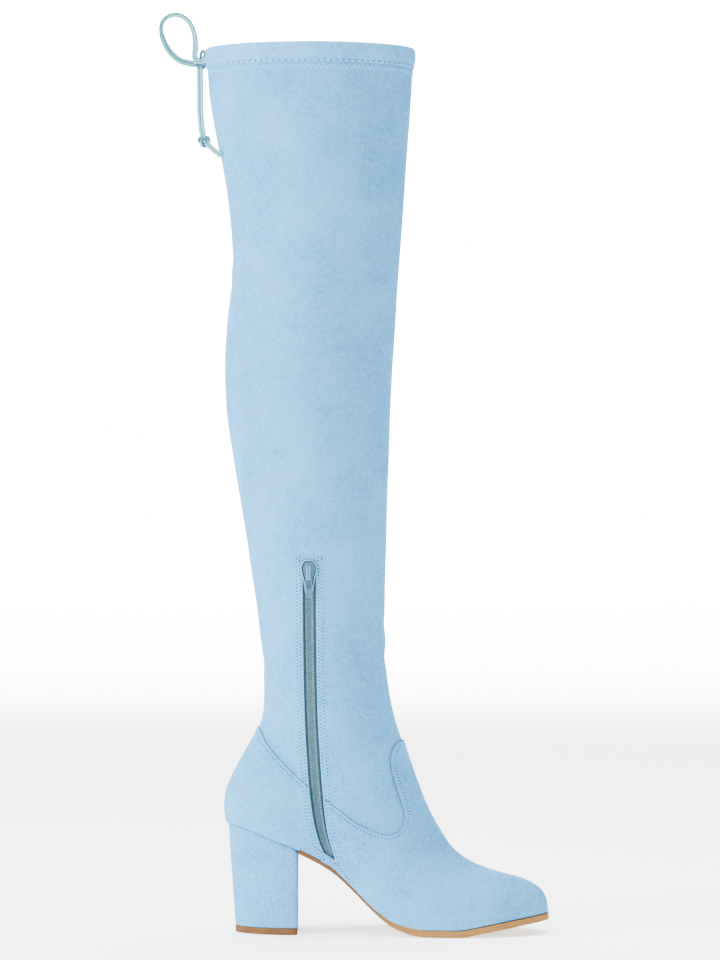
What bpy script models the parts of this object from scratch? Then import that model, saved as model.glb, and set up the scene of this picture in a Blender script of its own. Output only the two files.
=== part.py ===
"""A left thigh-high boot in soft suede, with an 8 cm block heel and a short zip.

X runs from heel to toe, -Y is the inner side of the foot, where the zip is, and Z is up.
The origin is the middle of the heel's tread, on the floor. Sizes are in metres.
"""

import math

import bmesh
import bpy
import numpy as np
from mathutils import Matrix, Vector

# Driving sizes of the whole boot
SHOE_LENGTH = 0.2343     # rearmost point of the heel to the tip of the toe
BALL_WIDTH = 0.083       # across the joints of the toes
HEEL_HEIGHT = 0.080      # floor to the seat, at the back
TOE_SPRING = 0.0106      # floor to the underside of the toe
ANKLE_HEIGHT = 0.214     # narrowest part of the shaft, at the back
BOOT_HEIGHT = 0.6416     # floor to the rim of the collar
COLLAR_DEPTH = 0.1515    # rim, from front to back
COLLAR_WIDTH = 0.1055    # rim, from side to side

# Material thicknesses and clearances
WALL = 0.0016            # suede and lining of the upper
PANEL = 0.0010           # suede of the vamp and the counter, laid over the upper
CASING = 0.0012          # band that makes the tunnel for the lace
GAP = 0.0003             # between pieces that touch
SOLE_THICKNESS = 0.0050
INSOLE_THICKNESS = 0.0020
LIFT_THICKNESS = 0.0050

# Sizes of single pieces
ROUND_END = 0.0200       # half width below which an outline turns round its end
HEEL_BASE_LENGTH = 0.0455
HEEL_BASE_WIDTH = 0.0520
HEEL_REVEAL = 0.0005     # how far the seat of the heel stays inside the upper
SOLE_WELT = 0.0016       # how far the outsole stands out past the upper
SOLE_CHAMFER = 0.0010
INSOLE_EASE = 0.0006     # room for the lining beside the insole
PANEL_RISE = 0.0010      # the panels stop this far above the sole
CASING_HEIGHT = 0.0140
CASING_MOUTH = 0.0100    # opening at the back, where the lace comes out
ZIP_OPENING = 0.0086
ZIP_TAPE_WIDTH = 0.0200
ZIP_TAPE = 0.0008
ZIP_TAPE_ABOVE = 0.0040  # how far the tape goes on above the opening
ZIP_CHAIN_WIDTH = 0.0048
ZIP_CHAIN_DEPTH = 0.0001  # the teeth lie this far below the suede
SLIDER_WIDTH = 0.0120
SLIDER_LENGTH = 0.0236
SLIDER_PLATE = 0.0018
SLIDER_CLEAR = 0.0004
BRIDGE_WIDTH = 0.0024
BRIDGE_ABOVE = 0.0080    # from the pull's axis up to the bridge's upper end
BRIDGE_BELOW = 0.0022
BRIDGE_HOLE = 0.0020     # clear height under the bridge
BRIDGE_STRAP = 0.0009
PULL_LENGTH = 0.0155
PULL_WIDTH = 0.0052
PULL_END_WIDTH = 0.0038
PULL_THICKNESS = 0.0010
LACE = 0.0030            # the flat lace, as a round cord

# Where things lie along the foot, as shares of the shoe's length from its rear
ORIGIN_SHARE = 0.1283
BREAST_SHARE = 0.2245
LEG_SHARE = 0.3000       # upright line through the ankle, to which the shaft is measured
HINGE_SHARE = 1.2130     # height of the pull's axis, as a share of the ankle's height
ZIP_TOP_SHARE = 1.3000   # the zip ends below this height, in the same share

COLUMNS = 42             # facets round the upper
ROWS = 27                # facets up the upper
SEAM_STEPS = 40

REAR = -ORIGIN_SHARE * SHOE_LENGTH
BREAST = REAR + BREAST_SHARE * SHOE_LENGTH
LEG = REAR + LEG_SHARE * SHOE_LENGTH

# Underside of the foot. place: share of the length from the rear. rise: of the heel's
# height. spring: of the toe spring. thick: of the sole's thickness.
SOLE_LINE = (
    # place, rise, spring, thick
    (0.000, 0.970, 0.00, 0.50),
    (0.055, 0.934, 0.00, 0.50),
    (0.103, 0.886, 0.00, 0.50),
    (0.171, 0.805, 0.00, 0.50),
    (0.222, 0.745, 0.00, 0.50),
    (0.325, 0.580, 0.00, 0.48),
    (0.393, 0.406, 0.00, 0.52),
    (0.434, 0.284, 0.00, 0.56),
    (0.473, 0.175, 0.00, 0.62),
    (0.507, 0.099, 0.00, 0.72),
    (0.540, 0.050, 0.00, 0.86),
    (0.580, 0.014, 0.00, 0.96),
    (0.620, 0.000, 0.00, 1.00),
    (0.716, 0.000, 0.00, 1.00),
    (0.785, 0.000, 0.24, 1.00),
    (0.857, 0.000, 0.52, 1.00),
    (0.930, 0.000, 0.79, 0.97),
    (1.000, 0.000, 1.00, 0.94),
)

# The toe turns inwards. place: share of the length. swing: share of the ball's width.
TOE_SWING = (
    (0.00, 0.000),
    (0.30, 0.018),
    (0.50, 0.026),
    (0.70, 0.000),
    (0.85, -0.042),
    (1.00, -0.095),
)

# Sections of the foot, from the feather line up to the ankle. back, front: shares of the
# length from the rear. back_up, front_up: shares of the way up to the ankle. dip: how much
# of the sole's arch the section keeps. The other columns are half widths at seven stations
# along the section, as shares of the ball's width.
STATIONS = (0.0, 0.15, 0.35, 0.50, 0.70, 0.90, 1.0)
FOOT_ROWS = (
    # back, back_up, front, front_up, dip, heel end, heel, waist, middle, ball, toe, tip
    (0.0060, 0.000, 0.9960, 0.000, 1.00, 0.506, 0.472, 0.335, 0.404, 0.539, 0.552, 0.518),
    (0.0026, 0.042, 0.9936, 0.031, 0.93, 0.518, 0.494, 0.367, 0.434, 0.549, 0.554, 0.524),
    (0.0000, 0.095, 0.9800, 0.071, 0.83, 0.524, 0.506, 0.392, 0.452, 0.542, 0.536, 0.506),
    (0.0043, 0.158, 0.9275, 0.112, 0.68, 0.518, 0.506, 0.410, 0.452, 0.512, 0.488, 0.458),
    (0.0205, 0.236, 0.8440, 0.138, 0.52, 0.512, 0.500, 0.422, 0.446, 0.476, 0.434, 0.410),
    (0.0420, 0.311, 0.7650, 0.172, 0.40, 0.500, 0.494, 0.431, 0.440, 0.446, 0.404, 0.380),
    (0.0670, 0.389, 0.7030, 0.225, 0.29, 0.482, 0.482, 0.439, 0.434, 0.428, 0.392, 0.367),
    (0.0920, 0.467, 0.6610, 0.298, 0.19, 0.458, 0.464, 0.440, 0.431, 0.419, 0.386, 0.361),
    (0.1090, 0.542, 0.6230, 0.381, 0.10, 0.434, 0.446, 0.440, 0.429, 0.416, 0.386, 0.367),
    (0.1175, 0.624, 0.5907, 0.479, 0.04, 0.422, 0.434, 0.437, 0.431, 0.417, 0.390, 0.376),
    (0.1190, 0.717, 0.5580, 0.590, 0.01, 0.416, 0.425, 0.435, 0.434, 0.420, 0.400, 0.388),
    (0.1178, 0.814, 0.5275, 0.698, 0.00, 0.416, 0.423, 0.434, 0.434, 0.424, 0.412, 0.402),
    (0.1144, 0.907, 0.5070, 0.814, 0.00, 0.416, 0.422, 0.431, 0.431, 0.427, 0.419, 0.412),
    (0.1080, 1.000, 0.4968, 0.930, 0.00, 0.419, 0.424, 0.429, 0.429, 0.427, 0.422, 0.417),
)

# Sections of the shaft, from the ankle up to the rim. up: share of the way. behind, ahead:
# from the leg line, as shares of the collar's depth. half: half width, as a share of the
# collar's width. drop: how far the front lies below the back, as a share of the ankle height.
SHAFT_ROWS = (
    # up, behind, ahead, half, drop
    (0.045, 0.312, 0.301, 0.347, 0.035),
    (0.095, 0.333, 0.303, 0.366, 0.012),
    (0.160, 0.360, 0.309, 0.393, 0.000),
    (0.235, 0.395, 0.314, 0.430, 0.000),
    (0.310, 0.430, 0.322, 0.464, 0.000),
    (0.390, 0.461, 0.329, 0.490, 0.000),
    (0.460, 0.469, 0.339, 0.500, 0.000),
    (0.530, 0.459, 0.352, 0.498, 0.000),
    (0.600, 0.439, 0.364, 0.495, 0.000),
    (0.665, 0.434, 0.378, 0.494, 0.000),
    (0.730, 0.449, 0.391, 0.496, 0.000),
    (0.795, 0.476, 0.403, 0.498, 0.000),
    (0.860, 0.514, 0.417, 0.499, 0.000),
    (0.930, 0.545, 0.430, 0.500, 0.000),
    (1.000, 0.558, 0.442, 0.500, 0.000),
)

# Middle of the zip on the inner side, from the top down. place: share of the length.
# up: share of the ankle's height. open: share of the zip's opening.
ZIP_LINE = (
    (0.2616, 1.257, 1.00),
    (0.2630, 1.000, 1.00),
    (0.2676, 0.759, 1.00),
    (0.2749, 0.606, 1.00),
    (0.2817, 0.505, 1.00),
    (0.2924, 0.402, 0.90),
    (0.3073, 0.325, 0.72),
    (0.3260, 0.277, 0.50),
)

# Upper edges of the two panels, from the zip outwards, in the same shares. They meet on the
# zip's line at SEAM_MEET, and on the outer side both follow that line down.
SEAM_MEET = 0.480
COUNTER_SEAM = (
    (0.2386, 0.520),
    (0.1985, 0.561),
    (0.1601, 0.602),
    (0.1263, 0.647),
    (0.1088, 0.682),
    (0.0960, 0.720),
    (0.0700, 0.800),
)
VAMP_SEAM = (
    (0.3158, 0.453),
    (0.3495, 0.427),
    (0.3961, 0.387),
    (0.4422, 0.359),
    (0.4912, 0.341),
    (0.5224, 0.341),
    (0.5472, 0.364),
    (0.5544, 0.407),
    (0.5425, 0.458),
    (0.5254, 0.515),
    (0.5139, 0.566),
    (0.5143, 0.606),
    (0.5258, 0.634),
    (0.5484, 0.650),
    (0.6400, 0.668),
)

# The panels' outlines go on from their seams round the boot through these corners, in the
# same shares, and end below the sole.
COUNTER_CORNERS = ((-0.10, 0.80), (-0.10, 0.05))
VAMP_CORNERS = ((1.10, 0.668), (1.10, -0.09))
OUTLINE_FOOT = -0.09

# Half outline of the zip's slider, from its lower end up, as shares of its length and width.
SLIDER_OUTLINE = ((0.00, 0.20), (0.06, 0.24), (0.42, 0.34), (0.60, 0.47), (0.80, 0.50),
                  (0.94, 0.43), (1.00, 0.30))

# The bow and the ends of the lace. Places and directions are behind the rim's rear, aside
# (minus is the inner side) and above the rim.
BOW_KNOT = (0.0026, 0.0, -0.0087)
BOW_KNOT_SIZE = (0.0088, 0.0096, 0.0088)
END_KNOT = (0.0000, -0.0105, -0.0667)
END_KNOT_SIZE = (0.0090, 0.0076, 0.0084)
LOOP_LEAVES = (0.90, -0.42, 0.10)
LOOP_RETURNS = (0.45, -0.50, 0.74)
END_LEAVES = (0.25, -0.50, -0.83)
END_ARRIVES = (0.25, 0.10, 0.96)
TIP_LEAVES = (-0.70, -0.25, -0.66)
TIP_LENGTH = 0.0090
LOOP_ROUTE = (
    # behind, aside, above
    (0.0179, -0.0075, -0.0056),
    (0.0252, -0.0110, 0.0008),
    (0.0299, -0.0140, 0.0095),
    (0.0310, -0.0155, 0.0176),
    (0.0281, -0.0158, 0.0234),
    (0.0223, -0.0148, 0.0263),
    (0.0164, -0.0130, 0.0258),
    (0.0106, -0.0108, 0.0210),
    (0.0073, -0.0085, 0.0130),
    (0.0064, -0.0064, 0.0052),
)
END_ROUTE = (
    (0.0042, -0.0062, -0.0200),
    (0.0036, -0.0074, -0.0284),
    (0.0034, -0.0083, -0.0380),
    (0.0032, -0.0090, -0.0467),
    (0.0024, -0.0096, -0.0545),
)


def smooth_curve(places, values, at):
    """Value at the given places of a smooth curve through the rows, with no overshoot."""
    places = np.asarray(places, float)
    values = np.asarray(values, float)
    at = np.asarray(at, float)
    step = np.diff(places)
    slope = (np.diff(values, axis=0).T / step).T
    tangent = np.zeros_like(values)
    tangent[0] = slope[0]
    tangent[-1] = slope[-1]
    product = slope[:-1] * slope[1:]
    total = slope[:-1] + slope[1:]
    same_way = product > 0
    tangent[1:-1] = np.where(same_way, 2 * product / np.where(same_way, total, 1.0), 0.0)
    index = np.clip(np.searchsorted(places, at, side="right") - 1, 0, len(step) - 1)
    width = step[index]
    u = (at - places[index]) / width
    if values.ndim > 1:
        u = u[..., None]
        width = width[..., None]
    start = (1 + 2 * u) * (1 - u) ** 2 * values[index] + u * (1 - u) ** 2 * width * tangent[index]
    end = u * u * (3 - 2 * u) * values[index + 1] + u * u * (u - 1) * width * tangent[index + 1]
    return start + end


def station_weights(share):
    """How much each of the STATIONS counts at a share of the way along a section."""
    places = np.asarray(STATIONS)
    share = np.asarray(share, float)
    identity = np.eye(len(places))
    tangent = np.gradient(identity, places, axis=0)
    index = np.clip(np.searchsorted(places, share, side="right") - 1, 0, len(places) - 2)
    width = (places[index + 1] - places[index])[..., None]
    u = (share - places[index])[..., None] / width
    start = (1 + 2 * u) * (1 - u) ** 2 * identity[index] + u * (1 - u) ** 2 * width * tangent[index]
    end = u * u * (3 - 2 * u) * identity[index + 1] + u * u * (u - 1) * width * tangent[index + 1]
    return start + end


def smooth_route(points, steps):
    """Points of a smooth line that passes through the given ones, ends included."""
    points = np.asarray(points, float)
    padded = np.vstack((2 * points[0] - points[1], points, 2 * points[-1] - points[-2]))
    place = np.linspace(0, len(points) - 1, steps)
    index = np.minimum(place.astype(int), len(points) - 2)
    u = (place - index)[:, None]
    a, b, c, d = (padded[index + k] for k in range(4))
    return 0.5 * (2 * b + (c - a) * u + (2 * a - 5 * b + 4 * c - d) * u ** 2
                  + (3 * b - a - 3 * c + d) * u ** 3)


# Underside of the foot

def along(share):
    """X of a place given as a share of the shoe's length from its rear."""
    return REAR + np.asarray(share, float) * SHOE_LENGTH


def sole_underside(x):
    """Height of the outsole's tread."""
    rows = np.array(SOLE_LINE)
    share = (np.asarray(x, float) - REAR) / SHOE_LENGTH
    line = smooth_curve(rows[:, 0], rows[:, 1:3], share)
    return HEEL_HEIGHT * line[..., 0] + TOE_SPRING * line[..., 1]


def feather(x):
    """Height of the line where upper and sole meet."""
    rows = np.array(SOLE_LINE)
    share = (np.asarray(x, float) - REAR) / SHOE_LENGTH
    return sole_underside(x) + SOLE_THICKNESS * smooth_curve(rows[:, 0], rows[:, 3], share)


def swing(x):
    """How far the foot's middle line lies towards the outer side."""
    rows = np.array(TOE_SWING)
    share = np.clip((np.asarray(x, float) - REAR) / SHOE_LENGTH, 0, 1)
    return BALL_WIDTH * smooth_curve(rows[:, 0], rows[:, 1], share)


# Form of the upper

def section_table():
    """Every section in metres: back x and z, front x and z, dip, turn, seven half widths."""
    seat = float(feather(along(FOOT_ROWS[0][0])))
    toe = float(feather(along(FOOT_ROWS[0][2])))
    table = []
    for back, back_up, front, front_up, dip, *half in FOOT_ROWS:
        turn = min(1.0, 3 * dip)
        table.append((float(along(back)), seat + back_up * (ANKLE_HEIGHT - seat),
                      float(along(front)), toe + front_up * (ANKLE_HEIGHT - toe), dip, turn,
                      *(BALL_WIDTH * share for share in half)))
    for up, behind, ahead, half, drop in SHAFT_ROWS:
        height = ANKLE_HEIGHT + up * (BOOT_HEIGHT - ANKLE_HEIGHT)
        table.append((LEG - behind * COLLAR_DEPTH, height, LEG + ahead * COLLAR_DEPTH,
                      height - drop * ANKLE_HEIGHT, 0.0, 0.0,
                      *(COLLAR_WIDTH * half for _ in STATIONS)))
    return np.array(table)


SECTIONS = section_table()
TOP_ROW = len(SECTIONS) - 1


def upper_surface(row, angle):
    """Points of the upper's outer face. angle runs from the back over the outer side."""
    row, angle = np.broadcast_arrays(np.asarray(row, float), np.asarray(angle, float))
    section = smooth_curve(np.arange(len(SECTIONS)), SECTIONS, np.clip(row, 0, TOP_ROW))
    back_x, back_z, front_x, front_z, dip, turn = (section[..., k] for k in range(6))
    share = (1 - np.cos(angle)) / 2
    half = (station_weights(share) * section[..., 6:]).sum(axis=-1)
    seat_x = SECTIONS[0][0] + share * (SECTIONS[0][2] - SECTIONS[0][0])
    seat_z = SECTIONS[0][1] + share * (SECTIONS[0][3] - SECTIONS[0][1])
    x = back_x + share * (front_x - back_x)
    z = back_z + share * (front_z - back_z) + dip * (feather(seat_x) - seat_z)
    y = turn * swing(x) + half * np.sin(angle)
    return np.stack((x, y, z), axis=-1)


def upper_normal(row, angle):
    """Outward directions of the upper's outer face."""
    row, angle = np.broadcast_arrays(np.asarray(row, float), np.asarray(angle, float))
    small = 0.02
    low = np.maximum(row - small, 0)
    high = np.minimum(row + small, TOP_ROW)
    up = upper_surface(high, angle) - upper_surface(low, angle)
    round_it = upper_surface(row, angle + small) - upper_surface(row, angle - small)
    normal = np.cross(up, round_it)
    return normal / np.linalg.norm(normal, axis=-1, keepdims=True)


def upper_grid(rows, offset):
    """The upper's face, moved out by offset: one ring of COLUMNS points for each row."""
    angles = np.linspace(0, 2 * math.pi, COLUMNS, endpoint=False)
    row, angle = np.meshgrid(np.asarray(rows, float), angles, indexing="ij")
    return upper_surface(row, angle) + offset * upper_normal(row, angle)


def upper_rings(first, top_height, offset):
    """The upper's own rings, from ring number first to the one just above top_height."""
    step = TOP_ROW / ROWS
    last = math.ceil(row_at_height(top_height) / step)
    return upper_grid(step * np.arange(first, last + 1), offset)


def row_at_height(height):
    """Row of the shaft, counted like SECTIONS, whose back lies at this height."""
    rows = np.linspace(0, TOP_ROW, 40 * TOP_ROW)
    heights = smooth_curve(np.arange(len(SECTIONS)), SECTIONS[:, 1], rows)
    return float(np.interp(height, heights, rows))


def seat_outline(x, grow):
    """Half width and middle of the feather line at x, grown sideways by grow."""
    start, end = SECTIONS[0][0], SECTIONS[0][2]
    share = np.clip((np.asarray(x, float) - start) / (end - start), 0, 1)
    half = station_weights(share) @ SECTIONS[0][6:] * 2 * np.sqrt(share * (1 - share))
    return half + grow, swing(x)


def rim_columns():
    """X of the upper's columns at its lower rim, from the back to the toe."""
    share = (1 - np.cos(np.linspace(0, math.pi, COLUMNS // 2 + 1))) / 2
    return SECTIONS[0][0] + share * (SECTIONS[0][2] - SECTIONS[0][0])


def rim_height(x):
    """Height of the upper's lower rim, straight between its columns as the solid is."""
    return np.interp(x, rim_columns(), feather(rim_columns()))


def rim_stations(start, end):
    """X of the rim's columns between start and end, with a place halfway between each two."""
    inside = [x for x in rim_columns() if start + GAP < x < end - GAP]
    columns = np.array([start, *inside, end])
    halfway = (columns[:-1] + columns[1:]) / 2
    return np.sort(np.concatenate((columns, halfway)))


# Small modelling tools

def clear_scene():
    for item in list(bpy.data.objects):
        bpy.data.objects.remove(item, do_unlink=True)


def new_collection(name):
    group = bpy.data.collections.new(name)
    bpy.context.scene.collection.children.link(group)
    return group


def new_material(name, colour, roughness, metallic=0.0):
    material = bpy.data.materials.new(name)
    material.use_nodes = True
    shader = material.node_tree.nodes["Principled BSDF"]
    shader.inputs["Base Color"].default_value = (*colour, 1.0)
    shader.inputs["Roughness"].default_value = roughness
    shader.inputs["Metallic"].default_value = metallic
    return material


def place_mesh(name, mesh, group, material=None, smooth=True):
    item = bpy.data.objects.new(name, mesh)
    group.objects.link(item)
    if material:
        mesh.materials.append(material)
    if smooth:
        mesh.shade_smooth()
        mesh.set_sharp_from_angle(angle=math.radians(40))
    return item


def mesh_from_bmesh(name, shape):
    mesh = bpy.data.meshes.new(name)
    shape.to_mesh(mesh)
    shape.free()
    return mesh


def sheet_mesh(name, grid):
    """Open tube through the rings of a grid, facing out, each field split the same way."""
    shape = bmesh.new()
    rings = [[shape.verts.new(point) for point in ring] for ring in grid]
    for low, high in zip(rings, rings[1:]):
        for k in range(len(low)):
            after = (k + 1) % len(low)
            shape.faces.new((low[k], high[k], high[after]))
            shape.faces.new((low[k], high[after], low[after]))
    return mesh_from_bmesh(name, shape)


def layered_mesh(name, rings):
    """Closed body through outlines. Each outline runs from one end point round and back."""
    shape = bmesh.new()
    layers = [[shape.verts.new(point) for point in ring] for ring in rings]
    count = len(layers[0])
    for low, high in zip(layers, layers[1:]):
        for k in range(count):
            after = (k + 1) % count
            shape.faces.new((low[k], low[after], high[after], high[k]))
    for layer in (layers[0], layers[-1]):
        first, last = 1, count - 1
        shape.faces.new((layer[0], layer[first], layer[last]))
        while last - first > 2:
            shape.faces.new((layer[first], layer[first + 1], layer[last - 1], layer[last]))
            first += 1
            last -= 1
        if last - first == 2:
            shape.faces.new((layer[first], layer[first + 1], layer[last]))
    bmesh.ops.recalc_face_normals(shape, faces=shape.faces)
    return mesh_from_bmesh(name, shape)


def prism_mesh(name, outline, low, high):
    """Flat outline in X and Z, drawn out along Y from low to high."""
    shape = bmesh.new()
    face = shape.faces.new([shape.verts.new((x, low, z)) for x, z in outline])
    drawn = bmesh.ops.extrude_face_region(shape, geom=[face])
    moved = [part for part in drawn["geom"] if isinstance(part, bmesh.types.BMVert)]
    bmesh.ops.translate(shape, verts=moved, vec=(0, high - low, 0))
    bmesh.ops.recalc_face_normals(shape, faces=shape.faces)
    return mesh_from_bmesh(name, shape)


def box_mesh(name, low, high):
    shape = bmesh.new()
    bmesh.ops.create_cube(shape, size=1.0)
    middle = (Vector(low) + Vector(high)) / 2
    size = Vector(high) - Vector(low)
    bmesh.ops.scale(shape, vec=size, verts=shape.verts)
    bmesh.ops.translate(shape, vec=middle, verts=shape.verts)
    return mesh_from_bmesh(name, shape)


def add_thickness(item, thickness, outwards):
    wall = item.modifiers.new("wall", "SOLIDIFY")
    wall.thickness = thickness
    wall.offset = 1.0 if outwards else -1.0
    wall.use_even_offset = False
    return item


def combine(item, other, operation):
    joint = item.modifiers.new(operation.lower(), "BOOLEAN")
    joint.operation = operation
    joint.object = other
    joint.solver = "EXACT"


def cutter(name, mesh, tools):
    item = place_mesh(name, mesh, tools, smooth=False)
    item.hide_render = True
    item.display_type = "WIRE"
    return item


# Seams and the zip's path, seen from the side

def side_points(shares):
    """Side view points in metres from shares of the shoe's length and the ankle's height."""
    return [(float(along(place)), up * ANKLE_HEIGHT) for place, up in shares]


def zip_path(steps=SEAM_STEPS):
    """Middle line of the zip and the half width of its opening, from the top down."""
    rows = np.array(ZIP_LINE)
    path = smooth_route(np.column_stack((along(rows[:, 0]), rows[:, 1] * ANKLE_HEIGHT)), steps)
    place = np.linspace(0, len(rows) - 1, steps)
    share = smooth_curve(np.arange(len(rows)), rows[:, 2], place)
    return path, share * ZIP_OPENING / 2


def zip_strip(half_widths, above=0.0, below=0.0):
    """Outline of a strip along the zip's path, drawn out at both ends."""
    path, _ = zip_path()
    path[0][1] += above
    path[-1] += below * (path[-1] - path[-2]) / np.linalg.norm(path[-1] - path[-2])
    direction = np.gradient(path, axis=0)
    direction /= np.linalg.norm(direction, axis=1, keepdims=True)
    across = np.column_stack((-direction[:, 1], direction[:, 0]))
    reach = across * np.asarray(half_widths).reshape(-1, 1)
    return [*map(tuple, path + reach), *map(tuple, (path - reach)[::-1])]


def panel_outline(seam, corners, shift):
    """Side view of a panel: the zip's line, its seam, and corners beyond the boot."""
    path, _ = zip_path()
    meet = SEAM_MEET * ANKLE_HEIGHT
    start = (float(np.interp(-meet, -path[:, 1], path[:, 0])) + shift, meet)
    line = smooth_route([start, *side_points(seam)], SEAM_STEPS)
    edge = [(x + shift, z) for x, z in path if z < meet - GAP]
    end = (edge[-1][0], OUTLINE_FOOT * ANKLE_HEIGHT)
    return [*map(tuple, line), *side_points(corners), end, *reversed(edge)]


# The pieces

def make_upper(group, tools, suede):
    rows = np.linspace(0, TOP_ROW, ROWS + 1)
    upper = place_mesh("upper", sheet_mesh("upper", upper_grid(rows, 0.0)), group, suede)
    add_thickness(upper, WALL, outwards=False)
    _, opening = zip_path()
    slot = cutter("zip_slot", prism_mesh("zip_slot", zip_strip(opening), -BALL_WIDTH, 0.0), tools)
    combine(upper, slot, "DIFFERENCE")
    return slot


def make_panels(group, tools, suede, slot):
    outlines = {
        "vamp_panel": (VAMP_SEAM, VAMP_CORNERS, GAP / 2),
        "counter_panel": (COUNTER_SEAM, COUNTER_CORNERS, -GAP / 2),
    }
    for name, (seam, corners, shift) in outlines.items():
        rings = upper_rings(0, ANKLE_HEIGHT, GAP)
        raised = PANEL_RISE / (rings[1][0][2] - rings[0][0][2])
        rings[0] += raised * (rings[1] - rings[0])
        panel = place_mesh(name, sheet_mesh(name, rings), group, suede)
        add_thickness(panel, PANEL, outwards=True)
        outline = panel_outline(seam, corners, shift)
        mould = prism_mesh(name + "_outline", outline, -BALL_WIDTH, BALL_WIDTH)
        combine(panel, cutter(name + "_outline", mould, tools), "INTERSECT")
        combine(panel, slot, "DIFFERENCE")


def make_casing(group, tools, suede):
    rows = np.linspace(row_at_height(BOOT_HEIGHT - CASING_HEIGHT), TOP_ROW, 3)
    mesh = sheet_mesh("collar_casing", upper_grid(rows, GAP))
    casing = place_mesh("collar_casing", mesh, group, suede)
    add_thickness(casing, CASING, outwards=True)
    rear = LEG - COLLAR_DEPTH
    mouth = box_mesh("casing_mouth", (rear, -CASING_MOUTH / 2, BOOT_HEIGHT - 2 * CASING_HEIGHT),
                     (LEG, CASING_MOUTH / 2, BOOT_HEIGHT + CASING_HEIGHT))
    combine(casing, cutter("casing_mouth", mouth, tools), "DIFFERENCE")


def plan_ring(stations, half, middle, heights):
    """Closed outline from stations along X: out along one side and back along the other."""
    out = [(x, m + h, z) for x, h, m, z in zip(stations, half, middle, heights)]
    back = [(x, m - h, z) for x, h, m, z in zip(stations, half, middle, heights)]
    return out, back[::-1]


def make_outsole(group, leather):
    """Outline of the feather line, grown by the welt, which also lengthens the toe."""
    start, toe = SECTIONS[0][0], SECTIONS[0][2]
    inner = rim_stations(BREAST + GAP, toe)
    rings = []
    for inset, lift in ((SOLE_CHAMFER, 0.0), (0.0, SOLE_CHAMFER), (0.0, None)):
        grow = SOLE_WELT - inset
        x = inner + grow * ((inner - start) / (toe - start)) ** 4
        half, middle = seat_outline(inner, 0.0)
        half = half + grow * np.sqrt(np.clip(half / ROUND_END, 0, 1))
        height = rim_height(inner) - GAP if lift is None else sole_underside(inner) + lift
        out, back = plan_ring(x[::-1], half[::-1], middle[::-1], height[::-1])
        rings.append([*out, *back[:-1]])
    place_mesh("outsole", layered_mesh("outsole", rings), group, leather)


def make_insole(group, lining):
    start, toe = SECTIONS[0][0], SECTIONS[0][2]
    inset = WALL + GAP + INSOLE_EASE
    x = rim_stations(start + inset, toe - inset)
    stretched = start + (x - x[0]) * (toe - start) / (x[-1] - x[0])
    half, middle = seat_outline(stretched, 0.0)
    half = np.maximum(half - inset * np.sqrt(np.clip(half / ROUND_END, 0, 1)), 0)
    rings = []
    for lift in (GAP, GAP + INSOLE_THICKNESS):
        out, back = plan_ring(x, half, middle, rim_height(x) + lift)
        rings.append([*out, *back[1:-1]])
    place_mesh("insole", layered_mesh("insole", rings), group, lining)


def heel_ring(level):
    """Outline of the heel, from its seat at level 0 to its foot at level 1, back point first."""
    ease = 1 - np.cos(np.linspace(0, math.pi / 2, 12))
    seat_back = SECTIONS[0][0] + HEEL_REVEAL
    base_back = BREAST - HEEL_BASE_LENGTH
    seat_x = seat_back + ease * (BREAST - seat_back)
    inner = SECTIONS[0][0] + ease * (BREAST - SECTIONS[0][0])
    seat_half, _ = seat_outline(inner, 0.0)
    seat_half = seat_half - HEEL_REVEAL * np.sqrt(np.clip(seat_half / ROUND_END, 0, 1))
    base_x = base_back + ease * HEEL_BASE_LENGTH
    base_half = seat_half * HEEL_BASE_WIDTH / 2 / seat_half.max()
    x = seat_x + level * (base_x - seat_x)
    half = seat_half + level * (base_half - seat_half)
    middle = (1 - level) * swing(seat_x)
    seat_z = rim_height(seat_x) - GAP
    height = seat_z + level * (LIFT_THICKNESS + GAP - seat_z)
    out, back = plan_ring(x, half, middle, height)
    return [*out, *back[:-1]]


def make_heel(group, suede, lift_material):
    rings = [heel_ring(level) for level in np.linspace(1, 0, 6)]
    place_mesh("heel_block", layered_mesh("heel_block", rings), group, suede)
    foot = heel_ring(1.0)
    rings = [[(x, y, height) for x, y, _ in foot] for height in (0.0, LIFT_THICKNESS)]
    place_mesh("top_lift", layered_mesh("top_lift", rings), group, lift_material)


def make_zip(group, tools, tape_material, chain_material):
    strips = {
        "zip_tape": (WALL + GAP, ZIP_TAPE, ZIP_TAPE_WIDTH, ZIP_TAPE_ABOVE, tape_material),
        "zip_chain": (ZIP_CHAIN_DEPTH, WALL - ZIP_CHAIN_DEPTH, ZIP_CHAIN_WIDTH, 0.0, chain_material),
    }
    _, opening = zip_path()
    for name, (depth, thickness, width, above, material) in strips.items():
        rings = upper_rings(1, ZIP_TOP_SHARE * ANKLE_HEIGHT, -depth)
        strip = place_mesh(name, sheet_mesh(name, rings), group, material)
        add_thickness(strip, thickness, outwards=False)
        half = np.minimum(np.full(SEAM_STEPS, width / 2), width / ZIP_OPENING * opening)
        mould = prism_mesh(name + "_outline", zip_strip(half, above), -BALL_WIDTH, 0.0)
        combine(strip, cutter(name + "_outline", mould, tools), "INTERSECT")


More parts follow.
